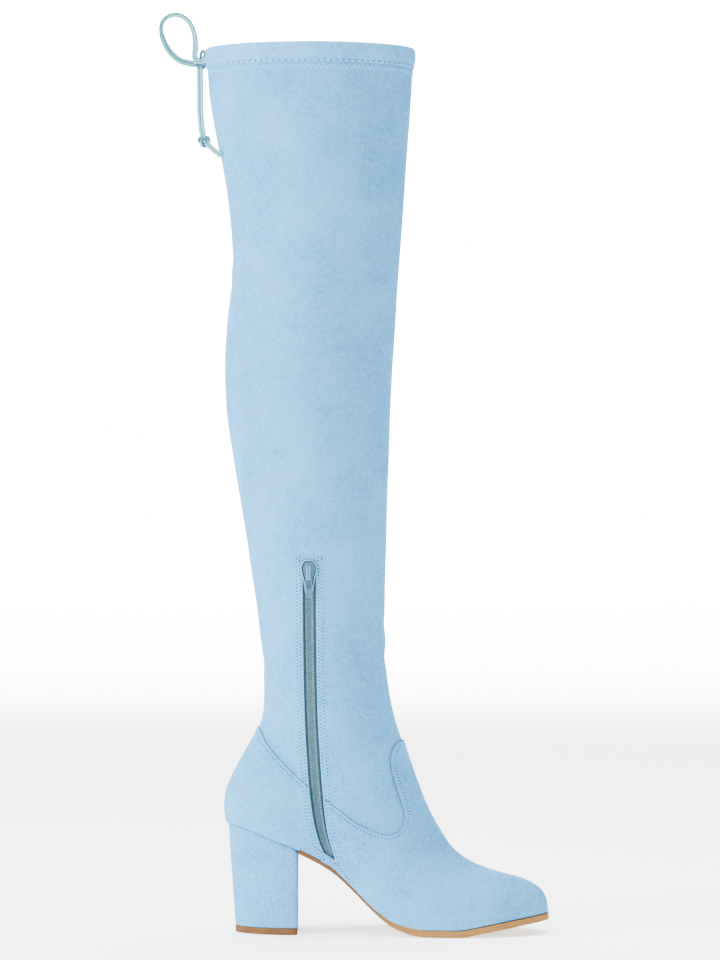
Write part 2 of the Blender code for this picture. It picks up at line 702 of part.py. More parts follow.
def hinge_frame():
    """Place and directions at the pull's axis: across, out of the boot, and up the zip."""
    path, _ = zip_path(400)
    height = HINGE_SHARE * ANKLE_HEIGHT
    x = float(np.interp(-height, -path[:, 1], path[:, 0]))
    row, angle = row_at_height(height), 1.5 * math.pi
    for _ in range(30):
        here = upper_surface(row, angle)
        step = 0.01
        by_row = (upper_surface(row + step, angle) - here) / step
        by_angle = (upper_surface(row, angle + step) - here) / step
        matrix = np.array(((by_row[0], by_angle[0]), (by_row[2], by_angle[2])))
        change = np.linalg.solve(matrix, np.array((x - here[0], height - here[2])))
        row, angle = row + change[0], angle + change[1]
    place = Vector(upper_surface(row, angle))
    out = Vector(upper_normal(row, angle))
    up = Vector((0, 0, 1)) - out * out.z
    up.normalize()
    return place, out.cross(up), out, up


def frame_matrix(place, across, out, up):
    return Matrix(((across.x, out.x, up.x, place.x), (across.y, out.y, up.y, place.y),
                   (across.z, out.z, up.z, place.z), (0, 0, 0, 1)))


def make_slider(group, tools, metal):
    """Slider and pull. In their own axes X is across, Y out of the boot, Z up the zip."""
    place, across, out, up = hinge_frame()
    axis_height = SLIDER_CLEAR + SLIDER_PLATE + BRIDGE_HOLE / 2
    matrix = frame_matrix(place + out * axis_height, across, out, up)
    plate_low = SLIDER_CLEAR - axis_height
    plate_high = plate_low + SLIDER_PLATE
    lower_end = -SLIDER_LENGTH / 2
    right = [(SLIDER_WIDTH * w, lower_end + SLIDER_LENGTH * h) for h, w in SLIDER_OUTLINE]
    outline = [*right, *[(-x, z) for x, z in reversed(right)]]
    mesh = prism_mesh("zip_slider", outline, plate_low, plate_high)
    slider = place_mesh("zip_slider", mesh, group, metal, smooth=False)
    slider.matrix_world = matrix
    rooted = SLIDER_PLATE / 2
    bridge = cutter("bridge", box_mesh(
        "bridge", (-BRIDGE_WIDTH / 2, plate_high - rooted, -BRIDGE_BELOW),
        (BRIDGE_WIDTH / 2, BRIDGE_HOLE / 2 + BRIDGE_STRAP, BRIDGE_ABOVE)), tools)
    bridge.matrix_world = matrix
    combine(slider, bridge, "UNION")
    hole = cutter("bridge_hole", box_mesh(
        "bridge_hole", (-BRIDGE_WIDTH, -BRIDGE_HOLE / 2, -BRIDGE_HOLE / 2 - GAP),
        (BRIDGE_WIDTH, BRIDGE_HOLE / 2, BRIDGE_HOLE / 2 + GAP)), tools)
    hole.matrix_world = matrix
    combine(slider, hole, "DIFFERENCE")

    bar = PULL_THICKNESS
    outline = [(-PULL_WIDTH / 2, bar / 2), (-PULL_END_WIDTH / 2, bar / 2 - PULL_LENGTH),
               (PULL_END_WIDTH / 2, bar / 2 - PULL_LENGTH), (PULL_WIDTH / 2, bar / 2)]
    mesh = prism_mesh("zip_pull", outline, -PULL_THICKNESS / 2, PULL_THICKNESS / 2)
    pull = place_mesh("zip_pull", mesh, group, metal, smooth=False)
    pull.matrix_world = matrix
    eye_half = BRIDGE_WIDTH / 2 + GAP
    eye = cutter("pull_eye", box_mesh(
        "pull_eye", (-eye_half, -PULL_THICKNESS, -BRIDGE_ABOVE - 2 * GAP),
        (eye_half, PULL_THICKNESS, -bar / 2)), tools)
    eye.matrix_world = matrix
    combine(pull, eye, "DIFFERENCE")


# The lace and its bow

def behind_collar(points, side):
    """Points given from the rim's rear: behind it, aside and above, on the chosen side."""
    rear = SECTIONS[TOP_ROW][0] - GAP - CASING
    return [(rear - behind, side * aside, BOOT_HEIGHT + above) for behind, aside, above in points]


def off_knot(knot, size, direction):
    """Two points straight out of a knot: at its face and one cord's width further out."""
    direction = np.array(direction) / np.linalg.norm(direction)
    radius = 1 / np.linalg.norm(2 * direction / np.array(size))
    return [np.array(knot) + reach * direction for reach in (radius + GAP, radius + LACE)]


def make_lace_run(name, points, group, suede):
    """Round cord on a smooth line, capped at both ends."""
    route = np.asarray(points, float)
    length = np.linalg.norm(np.diff(route, axis=0), axis=1).sum()
    line = smooth_route(route, max(3, int(length / (2.5 * LACE)) + 1))
    curve = bpy.data.curves.new(name, "CURVE")
    curve.dimensions = "3D"
    spline = curve.splines.new("POLY")
    spline.points.add(len(line) - 1)
    for point, place in zip(spline.points, line):
        point.co = (*place, 1.0)
    curve.bevel_depth = LACE / 2
    curve.bevel_resolution = 2
    curve.use_fill_caps = True
    curve.materials.append(suede)
    group.objects.link(bpy.data.objects.new(name, curve))


def make_knot(name, place, size, group, suede):
    shape = bmesh.new()
    bmesh.ops.create_uvsphere(shape, u_segments=12, v_segments=8, radius=0.5)
    bmesh.ops.scale(shape, vec=size, verts=shape.verts)
    bmesh.ops.translate(shape, vec=place, verts=shape.verts)
    place_mesh(name, mesh_from_bmesh(name, shape), group, suede)


def make_lace(group, suede):
    loop_start = off_knot(BOW_KNOT, BOW_KNOT_SIZE, LOOP_LEAVES)
    loop_end = off_knot(BOW_KNOT, BOW_KNOT_SIZE, LOOP_RETURNS)[::-1]
    end_start = off_knot(BOW_KNOT, BOW_KNOT_SIZE, END_LEAVES)
    end_stop = off_knot(END_KNOT, END_KNOT_SIZE, END_ARRIVES)[::-1]
    tip_start, _ = off_knot(END_KNOT, END_KNOT_SIZE, TIP_LEAVES)
    tip_stop = tip_start + TIP_LENGTH * np.array(TIP_LEAVES) / np.linalg.norm(TIP_LEAVES)
    runs = {
        "bow_loop_": [*loop_start, *LOOP_ROUTE, *loop_end],
        "lace_end_": [*end_start, *END_ROUTE, *end_stop],
        "lace_tip_": [tip_start, tip_stop],
    }
    (knot,) = behind_collar([BOW_KNOT], 1)
    make_knot("bow_knot", knot, BOW_KNOT_SIZE, group, suede)
    for side_name, side in (("inner", 1), ("outer", -1)):
        for name, route in runs.items():
            make_lace_run(name + side_name, behind_collar(route, side), group, suede)
        (end,) = behind_collar([END_KNOT], side)
        make_knot("end_knot_" + side_name, end, END_KNOT_SIZE, group, suede)


def main():
    clear_scene()
    boot = new_collection("thigh_high_boot")
    tools = new_collection("cutters")
    suede = new_material("suede", (0.42, 0.61, 0.74), 0.85)
    lace_suede = new_material("lace_suede", (0.56, 0.71, 0.76), 0.80)
    lining = new_material("lining", (0.62, 0.60, 0.56), 0.75)
    sole_leather = new_material("sole_leather", (0.55, 0.36, 0.17), 0.55)
    lift_rubber = new_material("lift_rubber", (0.40, 0.22, 0.10), 0.60)
    zip_fabric = new_material("zip_fabric", (0.24, 0.34, 0.40), 0.80)
    zip_teeth = new_material("zip_teeth", (0.36, 0.40, 0.52), 0.35)
    zip_metal = new_material("zip_metal", (0.40, 0.43, 0.55), 0.30, metallic=1.0)

    slot = make_upper(boot, tools, suede)
    make_panels(boot, tools, suede, slot)
    make_casing(boot, tools, suede)
    make_outsole(boot, sole_leather)
    make_insole(boot, lining)
    make_heel(boot, suede, lift_rubber)
    make_zip(boot, tools, zip_fabric, zip_teeth)
    make_slider(boot, tools, zip_metal)
    make_lace(boot, lace_suede)


main()
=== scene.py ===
# %% [markdown]
# # A thigh-high suede boot, dressed over its CAD
#
# The CAD part is the fixed frame. It has the true sizes, but flat facets and plain colours. This
# script adds what a shop window would show: the soft form of the suede with its creases, the
# rows of stitches, the teeth of the zip, the flat lace, and a finish for every surface.
# Cells come in the order in which a shoemaker works: form, panels, zip, collar, lace, heel.

# %% Tools and the frame
import math

import bpy
import numpy as np
from mathutils import Matrix, Vector


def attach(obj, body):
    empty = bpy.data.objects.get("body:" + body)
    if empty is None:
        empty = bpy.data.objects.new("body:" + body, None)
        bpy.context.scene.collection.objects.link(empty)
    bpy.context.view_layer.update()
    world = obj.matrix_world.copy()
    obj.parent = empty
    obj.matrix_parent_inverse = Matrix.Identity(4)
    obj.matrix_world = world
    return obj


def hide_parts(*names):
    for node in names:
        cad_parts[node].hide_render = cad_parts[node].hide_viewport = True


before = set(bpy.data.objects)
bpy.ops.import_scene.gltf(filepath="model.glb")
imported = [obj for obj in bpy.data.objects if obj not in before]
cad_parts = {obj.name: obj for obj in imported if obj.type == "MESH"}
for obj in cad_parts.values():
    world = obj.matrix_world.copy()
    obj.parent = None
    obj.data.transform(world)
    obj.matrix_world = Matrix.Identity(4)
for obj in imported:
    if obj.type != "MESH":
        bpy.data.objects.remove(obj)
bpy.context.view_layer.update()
MM = 0.001
print("CAD nodes:", len(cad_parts))

# %% [markdown]
# The photograph looks straight at the inner side of the boot, from 2.65 m away and from half
# the boot's height, so the camera stands there and looks along +Y. With Blender's sensor
# of 36 mm on the long side, a lens of 136 mm gives the photograph's frame.

# %% Camera
camera_data = bpy.data.cameras.new("camera")
camera_data.sensor_width = 36.0
camera_data.lens = 136.4
camera = bpy.data.objects.new("camera", camera_data)
bpy.context.scene.collection.objects.link(camera)
camera.location = (0.06775, -2.65, 0.3285)
camera.rotation_euler = (math.radians(90), 0, 0)
bpy.context.scene.camera = camera
print("camera at", tuple(round(c, 4) for c in camera.location))

# %% [markdown]
# A product photograph of this kind is lit by big soft boxes. One stands to the upper left, so
# the back of the shaft is lighter than the front, one fills from the right, and a white room
# does the rest. The floor sweeps up into a wall far behind, so no horizon shows.

# %% Light and floor
def soft_box(name, place, target, size, power, spread=180):
    """An area light that looks at the target. power in watts, spread in degrees."""
    data = bpy.data.lights.new(name, "AREA")
    data.spread = math.radians(spread)
    data.shape = "RECTANGLE"
    data.size, data.size_y = size
    data.energy = power
    light = bpy.data.objects.new(name, data)
    bpy.context.scene.collection.objects.link(light)
    light.location = place
    light.rotation_euler = (Vector(target) - Vector(place)).to_track_quat("-Z", "Y").to_euler()
    return light


soft_box("key_left", (-2.7, -1.35, 1.5), (0.05, 0, 0.36), (1.4, 2.4), 318)
soft_box("fill_right", (2.2, -2.2, 1.0), (0.05, 0, 0.30), (1.8, 1.8), 6)
soft_box("overhead", (0.05, 0.30, 2.6), (0.07, 0.0, 0.0), (1.4, 1.0), 160)
soft_box("top_front", (0.1, -1.1, 2.7), (0.07, 0, 0.40), (1.4, 1.0), 75)
for name, side in (("wall_left", -1), ("wall_right", 1)):
    soft_box(name, (side * 2.2, 1.6, 2.4), (side * 0.6, 4.5, 1.0), (1.5, 1.5), 420, 80)
room = bpy.data.worlds.new("white_room")
room.use_nodes = True
white = room.node_tree.nodes["Background"]
white.inputs["Color"].default_value = (0.97, 0.985, 1.0, 1)
white.inputs["Strength"].default_value = 0.42
bpy.context.scene.world = room


def deselect():
    if bpy.context.object and bpy.context.object.mode != "OBJECT":
        bpy.ops.object.mode_set(mode="OBJECT")
    bpy.ops.object.select_all(action="DESELECT")


def only(item):
    """Leave the item as the one that is selected and active."""
    deselect()
    bpy.context.view_layer.objects.active = item
    item.select_set(True)


def unit(vectors):
    return vectors / np.linalg.norm(vectors, axis=-1, keepdims=True)


def close_holes(by):
    """In edit mode: faces over all open edges, found by VERT or EDGE."""
    bpy.ops.mesh.select_mode(type=by)
    bpy.ops.mesh.select_all(action="DESELECT")
    bpy.ops.mesh.select_non_manifold(extend=False)
    bpy.ops.mesh.edge_face_add()


def face_outwards():
    """In edit mode: all normals outwards, and back to object mode."""
    bpy.ops.mesh.select_all(action="SELECT")
    bpy.ops.mesh.normals_make_consistent(inside=False)
    bpy.ops.object.mode_set(mode="OBJECT")


def laid_grid(name, points, round_it=False, capped=False, skip=()):
    """A grid primitive, its points laid row after row on the given places."""
    points = np.asarray(points, float)
    if round_it:
        points = np.concatenate((points, points[:, :1]), axis=1)
    rows, columns = points.shape[:2]
    deselect()
    bpy.ops.mesh.primitive_grid_add(x_subdivisions=columns - 1, y_subdivisions=rows - 1, size=1)
    item = bpy.context.object
    item.name = item.data.name = name
    item.data.vertices.foreach_set("co", points.reshape(-1))
    if skip:
        bpy.ops.object.mode_set(mode="EDIT")
        bpy.ops.mesh.select_mode(type="FACE")
        bpy.ops.mesh.select_all(action="DESELECT")
        bpy.ops.object.mode_set(mode="OBJECT")
        for index in skip:
            item.data.polygons[index].select = True
        bpy.ops.object.mode_set(mode="EDIT")
        bpy.ops.mesh.delete(type="FACE")
        bpy.ops.object.mode_set(mode="OBJECT")
    bpy.ops.object.mode_set(mode="EDIT")
    bpy.ops.mesh.select_all(action="SELECT")
    bpy.ops.mesh.remove_doubles(threshold=1e-6)
    if capped:
        close_holes("VERT")
    face_outwards()
    return item


def flat_body(name, outline, low, high):
    """A flat outline in X and Z, drawn out along Y from low to high."""
    deselect()
    bpy.ops.mesh.primitive_circle_add(vertices=len(outline), fill_type="NGON")
    item = bpy.context.object
    item.name = item.data.name = name
    item.data.vertices.foreach_set("co", np.insert(outline, 1, low, axis=1).reshape(-1))
    bpy.ops.object.mode_set(mode="EDIT")
    bpy.ops.mesh.select_all(action="SELECT")
    bpy.ops.mesh.extrude_region_move(TRANSFORM_OT_translate={"value": (0, high - low, 0)})
    face_outwards()
    return item


def apply_all(item):
    only(item)
    for modifier in list(item.modifiers):
        bpy.ops.object.modifier_apply(modifier=modifier.name)


def smooth(item, degrees=40):
    only(item)
    bpy.ops.object.shade_smooth_by_angle(angle=math.radians(degrees))


def settle(item, material, body="boot"):
    """Finish of a piece: its material, and the body it moves with."""
    if not item.data.materials:
        item.data.materials.append(material)
    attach(item, body)
    return item


sweep = [(-6.0, 0.0)] + [(3.0 + 1.5 * math.sin(a), 1.5 - 1.5 * math.cos(a))
                         for a in np.linspace(0, math.pi / 2, 17)] + [(4.5, 6.0)]
floor = laid_grid("floor", [[(x, y, z) for x in (-6.0, 6.0)] for y, z in sweep])
smooth(floor, 60)
paper = bpy.data.materials.new("studio_paper")
paper.use_nodes = True
for title, value in (("Base Color", (0.93, 0.93, 0.93, 1)), ("Roughness", 1.0),
                     ("Emission Color", (1, 1, 1, 1)), ("Emission Strength", 1.5)):
    paper.node_tree.nodes["Principled BSDF"].inputs[title].default_value = value
floor.data.materials.append(paper)

# %% [markdown]
# The upper of a boot is pulled over a last, so its form is a stack of sections: each starts at
# the back, goes over the outer side to the front, and comes back on the inner side. The CAD
# uses the same sections with 42 facets. Here they are smooth, and every other piece of suede
# is laid on them, because nothing floats or sinks in when all pieces share one form.

# %% Sections of the last, in millimetres
FOOT = np.array((
    # back x, back z, front x, front z, dip, turn, seven half widths from heel to toe
    (-28.7, 79.8, 203.3, 15.2, 1.00, 1.00, 42.0, 39.2, 27.8, 33.5, 44.7, 45.8, 43.0),
    (-29.5, 85.4, 202.7, 21.3, 0.93, 1.00, 43.0, 41.0, 30.5, 36.0, 45.6, 46.0, 43.5),
    (-30.1, 92.5, 199.6, 29.3, 0.83, 1.00, 43.5, 42.0, 32.5, 37.5, 45.0, 44.5, 42.0),
    (-29.1, 101.0, 187.3, 37.4, 0.68, 1.00, 43.0, 42.0, 34.0, 37.5, 42.5, 40.5, 38.0),
    (-25.3, 111.5, 167.7, 42.6, 0.52, 1.00, 42.5, 41.5, 35.0, 37.0, 39.5, 36.0, 34.0),
    (-20.2, 121.5, 149.2, 49.4, 0.40, 1.00, 41.5, 41.0, 35.8, 36.5, 37.0, 33.5, 31.5),
    (-14.4, 132.0, 134.7, 59.9, 0.29, 0.87, 40.0, 40.0, 36.4, 36.0, 35.5, 32.5, 30.5),
    (-8.5, 142.5, 124.8, 74.4, 0.19, 0.57, 38.0, 38.5, 36.5, 35.8, 34.8, 32.0, 30.0),
    (-4.5, 152.5, 115.9, 90.9, 0.10, 0.30, 36.0, 37.0, 36.5, 35.6, 34.5, 32.0, 30.5),
    (-2.5, 163.5, 108.3, 110.4, 0.04, 0.12, 35.0, 36.0, 36.3, 35.8, 34.6, 32.4, 31.2),
    (-2.2, 176.0, 100.7, 132.5, 0.01, 0.03, 34.5, 35.3, 36.1, 36.0, 34.9, 33.2, 32.2),
    (-2.5, 189.0, 93.5, 154.0, 0.00, 0.00, 34.5, 35.1, 36.0, 36.0, 35.2, 34.2, 33.4),
    (-3.3, 201.5, 88.7, 177.0, 0.00, 0.00, 34.5, 35.0, 35.8, 35.8, 35.4, 34.8, 34.2),
    (-4.8, 214.0, 86.3, 200.1, 0.00, 0.00, 34.8, 35.2, 35.6, 35.6, 35.4, 35.0, 34.6),
))
SHAFT = (
    # back x, back z, front x, front z, half width
    (-7.0, 233.2, 85.8, 225.8, 36.6), (-10.2, 254.6, 86.1, 252.1, 38.6),
    (-14.3, 282.4, 87.0, 282.4, 41.5), (-19.6, 314.5, 87.8, 314.5, 45.4),
    (-24.9, 346.6, 89.0, 346.6, 49.0), (-29.6, 380.8, 90.1, 380.8, 51.7),
    (-30.8, 410.7, 91.6, 410.7, 52.8), (-29.3, 440.6, 93.6, 440.6, 52.5),
    (-26.3, 470.6, 95.4, 470.6, 52.2), (-25.5, 498.4, 97.5, 498.4, 52.1),
    (-27.8, 526.1, 99.5, 526.1, 52.3), (-31.9, 553.9, 101.3, 553.9, 52.5),
    (-37.6, 581.7, 103.4, 581.7, 52.6), (-42.3, 611.7, 105.4, 611.7, 52.8),
    (-44.3, 641.6, 107.2, 641.6, 52.8),
)
# x, underside of the sole, its thickness
SOLE = np.array((
    (-30.1, 77.60, 2.5), (-17.2, 74.72, 2.5), (-5.9, 70.88, 2.5), (10.0, 64.40, 2.5),
    (22.0, 59.60, 2.5), (46.1, 46.40, 2.4), (62.0, 32.48, 2.6), (71.6, 22.72, 2.8),
    (80.8, 14.00, 3.1), (88.7, 7.92, 3.6), (96.5, 4.00, 4.3), (105.8, 1.12, 4.8),
    (115.2, 0.00, 5.0), (137.7, 0.00, 5.0), (153.9, 2.54, 5.0), (170.7, 5.51, 5.0),
    (187.8, 8.37, 4.85), (204.2, 10.60, 4.7),
)) * MM
# x, how far the middle of the foot lies towards the outer side
SWING = np.array(((-30.1, 0.0), (40.2, 1.49), (87.1, 2.16), (133.9, 0.0), (169.1, -3.49),
                  (204.2, -7.88))) * MM
STATIONS = np.array((0.0, 0.15, 0.35, 0.50, 0.70, 0.90, 1.0))
sections = np.vstack((FOOT, [(*row[:4], 0, 0, *[row[4]] * 7) for row in SHAFT]))
sections[:, :4] *= MM
sections[:, 6:] *= MM
TOP = len(sections) - 1
TOP_STEP = sections[TOP][1] - sections[TOP - 1][1]    # height between the two uppermost rows
WALL = 1.6 * MM
print("sections:", len(sections), "rim at", sections[TOP][1])

# %% [markdown]
# Between two rows the numbers follow a smooth curve that never overshoots, so a straight run
# of the shaft stays straight. The same rule was used for the CAD.

# %% Smooth form
def between(u, width, values, tangent, index):
    """Value at u on the curve from one row to the next, with these slopes at both."""
    start = (1 + 2 * u) * (1 - u) ** 2 * values[index] + u * (1 - u) ** 2 * width * tangent[index]
    end = u * u * (3 - 2 * u) * values[index + 1] + u * u * (u - 1) * width * tangent[index + 1]
    return start + end


def smooth_curve(places, values, at):
    """Value at the given places of a smooth curve through the rows, with no overshoot."""
    step = np.diff(places)
    slope = (np.diff(values, axis=0).T / step).T
    tangent = np.zeros_like(values)
    tangent[0], tangent[-1] = slope[0], slope[-1]
    total = slope[:-1] + slope[1:]
    same_way = slope[:-1] * slope[1:] > 0
    tangent[1:-1] = np.where(same_way, 2 * slope[:-1] * slope[1:] / np.where(same_way, total, 1), 0)
    index = np.clip(np.searchsorted(places, at, side="right") - 1, 0, len(step) - 1)
    width = step[index]
    u = (at - places[index]) / width
    if values.ndim > 1:
        u, width = u[..., None], width[..., None]
    return between(u, width, values, tangent, index)


def station_weights(share):
    """How much each of the STATIONS counts at a share of the way along a section."""
    ones = np.eye(len(STATIONS))
    tangent = np.gradient(ones, STATIONS, axis=0)
    index = np.clip(np.searchsorted(STATIONS, share, side="right") - 1, 0, len(STATIONS) - 2)
    width = (STATIONS[index + 1] - STATIONS[index])[..., None]
    return between((share - STATIONS[index])[..., None] / width, width, ones, tangent, index)


def read_off(table, column, x):
    """A table's column at x, and its end rows' values beyond them."""
    return smooth_curve(table[:, 0], table[:, column], np.clip(x, table[0, 0], table[-1, 0]))


def tread(x):
    return read_off(SOLE, 1, x)


def sole_thickness(x):
    return read_off(SOLE, 2, x)


def swing(x):
    return read_off(SWING, 1, x)


def form(row, angle):
    """Points of the upper's outer face. angle runs from the back over the outer side."""
    row, angle = np.broadcast_arrays(np.asarray(row, float), np.asarray(angle, float))
    section = smooth_curve(np.arange(len(sections)), sections, np.clip(row, 0, TOP))
    back_x, back_z, front_x, front_z, dip, turn = (section[..., k] for k in range(6))
    share = (1 - np.cos(angle)) / 2
    half = (station_weights(share) * section[..., 6:]).sum(axis=-1)
    seat_x = sections[0][0] + share * (sections[0][2] - sections[0][0])
    seat_z = sections[0][1] + share * (sections[0][3] - sections[0][1])
    x = back_x + share * (front_x - back_x)
    z = back_z + share * (front_z - back_z)
    z = z + dip * (tread(seat_x) + sole_thickness(seat_x) - seat_z)
    return np.stack((x, turn * swing(x) + half * np.sin(angle), z), axis=-1)


def form_normal(row, angle):
    row, angle = np.broadcast_arrays(np.asarray(row, float), np.asarray(angle, float))
    up = form(np.minimum(row + 0.02, TOP), angle) - form(np.maximum(row - 0.02, 0), angle)
    round_it = form(row, angle + 0.02) - form(row, angle - 0.02)
    return unit(np.cross(up, round_it))


def side_place(x, z, outer=False):
    """Row and angle of the form where the side view shows x and z."""
    x, z = np.broadcast_arrays(np.asarray(x, float), np.asarray(z, float))
    row = np.interp(z, sections[:, 1] * 0.5 + sections[:, 3] * 0.5, np.arange(len(sections)))
    angle = np.full(x.shape, 1.5 * math.pi)
    for _ in range(40):
        here = form(row, angle)
        by_row = (form(row + 0.01, angle) - here) / 0.01
        by_angle = (form(row, angle + 0.01) - here) / 0.01
        dx, dz = x - here[..., 0], z - here[..., 2]
        scale = by_row[..., 0] * by_angle[..., 2] - by_angle[..., 0] * by_row[..., 2]
        scale = np.where(np.abs(scale) < 1e-9, 1e-9, scale)
        row = row + np.clip((dx * by_angle[..., 2] - by_angle[..., 0] * dz) / scale, -1, 1)
        angle = angle + np.clip((by_row[..., 0] * dz - dx * by_row[..., 2]) / scale, -0.3, 0.3)
        row = np.clip(row, 0, TOP - 0.02)
        angle = np.clip(angle, math.pi + 0.01, 2 * math.pi - 0.01)
    return row, (2 * math.pi - angle if outer else angle)


def at_height(angle, z):
    """Row of the form at this angle where it has this height."""
    rows = np.linspace(0, TOP, 561)
    return float(np.interp(z, form(rows, angle)[:, 2], rows))


checked = np.array([v.co[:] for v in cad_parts["upper"].data.vertices])
print("form: ball", round(float(np.ptp(form(0.5, np.linspace(0, 6.28, 99))[:, 1])), 4),
      "rim", np.round(form(TOP, np.array((0, math.pi)))[:, 0], 4), "CAD top", checked[:, 2].max())

# %% [markdown]
# Suede has no gloss. What the eye reads is the nap: short fibres that lie in all directions, so
# the surface is speckled with tiny light and dark spots and, on a larger scale, with soft
# patches where a hand has brushed it. Both come from noise in the piece's own coordinates, in
# one group that the boot's suede, the lace and the stitching thread share.

# %% Shared effects
def feed(tree, socket, value):
    """Link a socket to another, or give it a constant. A colour of three numbers gets alpha 1."""
    if isinstance(value, bpy.types.NodeSocket):
        tree.links.new(value, socket)
    else:
        socket.default_value = (*value, 1) if socket.type == "RGBA" else value


def node(tree, kind, **inputs):
    made = tree.nodes.new("ShaderNode" + kind)
    for name, value in inputs.items():
        feed(tree, made.inputs[name.replace("_", " ")], value)
    return made


def effect(name, inputs, outputs):
    """An empty group with its named sockets."""
    tree = bpy.data.node_groups.new(name, "ShaderNodeTree")
    for title, value in inputs:
        made = tree.interface.new_socket(title, in_out="INPUT", socket_type="NodeSocketFloat")
        made.default_value = value
    for title in outputs:
        tree.interface.new_socket(title, in_out="OUTPUT", socket_type="NodeSocketFloat")
    return tree, tree.nodes.new("NodeGroupInput"), tree.nodes.new("NodeGroupOutput")


def math_node(tree, operation, first, second, clamp=False):
    made = tree.nodes.new("ShaderNodeMath")
    made.operation, made.use_clamp = operation, clamp
    feed(tree, made.inputs[0], first)
    feed(tree, made.inputs[1], second)
    return made.outputs[0]


def remap(tree, value, low, high, out_low=0.0, out_high=1.0):
    return node(tree, "MapRange", Value=value, From_Min=low, From_Max=high, To_Min=out_low,
                To_Max=out_high).outputs["Result"]


nap, given, result = effect("nap", [("Fibres per metre", 900.0), ("Patches per metre", 22.0)],
                            ["Speck", "Patch", "Height"])
place = node(nap, "TexCoord").outputs["Object"]
fibre = node(nap, "TexNoise", Vector=place, Scale=given.outputs[0], Detail=3.0, Roughness=0.62,
             Distortion=0.4)
curl = node(nap, "TexNoise", Vector=place, Scale=math_node(nap, "MULTIPLY", given.outputs[0], 0.36),
            Detail=2.0, Roughness=0.6, Distortion=1.2)
brushed = node(nap, "TexNoise", Vector=place, Scale=given.outputs[1], Detail=2.0, Roughness=0.5,
               Distortion=0.6)
mixed = math_node(nap, "ADD", math_node(nap, "MULTIPLY", fibre.outputs[0], 0.62),
                  math_node(nap, "MULTIPLY", curl.outputs[0], 0.38))
nap.links.new(remap(nap, mixed, 0.40, 0.60), result.inputs["Speck"])
nap.links.new(remap(nap, brushed.outputs[0], 0.34, 0.66), result.inputs["Patch"])
nap.links.new(mixed, result.inputs["Height"])

weave, given, result = effect("weave", [("Threads per metre", 1500.0)], ["Thread", "Height"])
place = node(weave, "TexCoord").outputs["Object"]
over, under = (node(weave, "TexWave", Vector=place, Scale=given.outputs[0], Distortion=0.6)
               for _ in range(2))
over.bands_direction, under.bands_direction = "Z", "X"
crossed = math_node(weave, "MAXIMUM", over.outputs["Fac"],
                    math_node(weave, "MULTIPLY", under.outputs["Fac"], 0.8))
weave.links.new(crossed, result.inputs["Thread"])
weave.links.new(crossed, result.inputs["Height"])

wear, given, result = effect("wear", [("Marks per metre", 240.0), ("Amount", 0.5)],
                             ["Mark", "Height"])
place = node(wear, "TexCoord").outputs["Object"]
long_marks = node(wear, "Mapping", Vector=place, Scale=(0.25, 0.25, 1.6))
marks = node(wear, "TexNoise", Vector=long_marks.outputs[0], Scale=given.outputs[0], Detail=4.0,
             Roughness=0.65)
marked = remap(wear, marks.outputs[0], 0.42, 0.68)
wear.links.new(math_node(wear, "MULTIPLY", marked, given.outputs[1], True), result.inputs["Mark"])
wear.links.new(marks.outputs[0], result.inputs["Height"])
print("groups:", [group.name for group in bpy.data.node_groups])


def finish(name, roughness, **sockets):
    """A material with its shader, and the sockets that are the same all over."""
    material = bpy.data.materials.new(name)
    material.use_nodes = True
    tree = material.node_tree
    shader = tree.nodes["Principled BSDF"]
    shader.inputs["Roughness"].default_value = roughness
    for title, value in sockets.items():
        shader.inputs[title.replace("_", " ")].default_value = value
    return material, tree, shader


def use(tree, group, **inputs):
    made = tree.nodes.new("ShaderNodeGroup")
    made.node_tree = group
    for title, value in inputs.items():
        made.inputs[title.replace("_", " ")].default_value = value
    return made


def blend_colours(tree, factor, first, second):
    made = tree.nodes.new("ShaderNodeMix")
    made.data_type = "RGBA"
    for title, value in (("Factor", factor), ("A", first), ("B", second)):
        feed(tree, made.inputs[title], value)
    return made.outputs["Result"]


def bump(tree, shader, height, strength, distance):
    made = node(tree, "Bump", Height=height, Strength=strength, Distance=distance)
    tree.links.new(made.outputs[0], shader.inputs["Normal"])


def napped(name, dark, middle, light, fibres, depth, **sockets):
    """Suede in three tones: specks from dark to middle, lifted to light in patches."""
    material, tree, shader = finish(name, 0.94, **sockets)
    group = use(tree, nap, Fibres_per_metre=fibres)
    specked = blend_colours(tree, group.outputs["Speck"], dark, middle)
    patch = remap(tree, group.outputs["Patch"], 0, 1, 0.0, 0.45)
    tree.links.new(blend_colours(tree, patch, specked, light), shader.inputs["Base Color"])
    tree.links.new(remap(tree, group.outputs["Speck"], 0, 1, 1.0, 0.88), shader.inputs["Roughness"])
    bump(tree, shader, group.outputs["Height"], 0.55, depth)
    return material, tree, shader
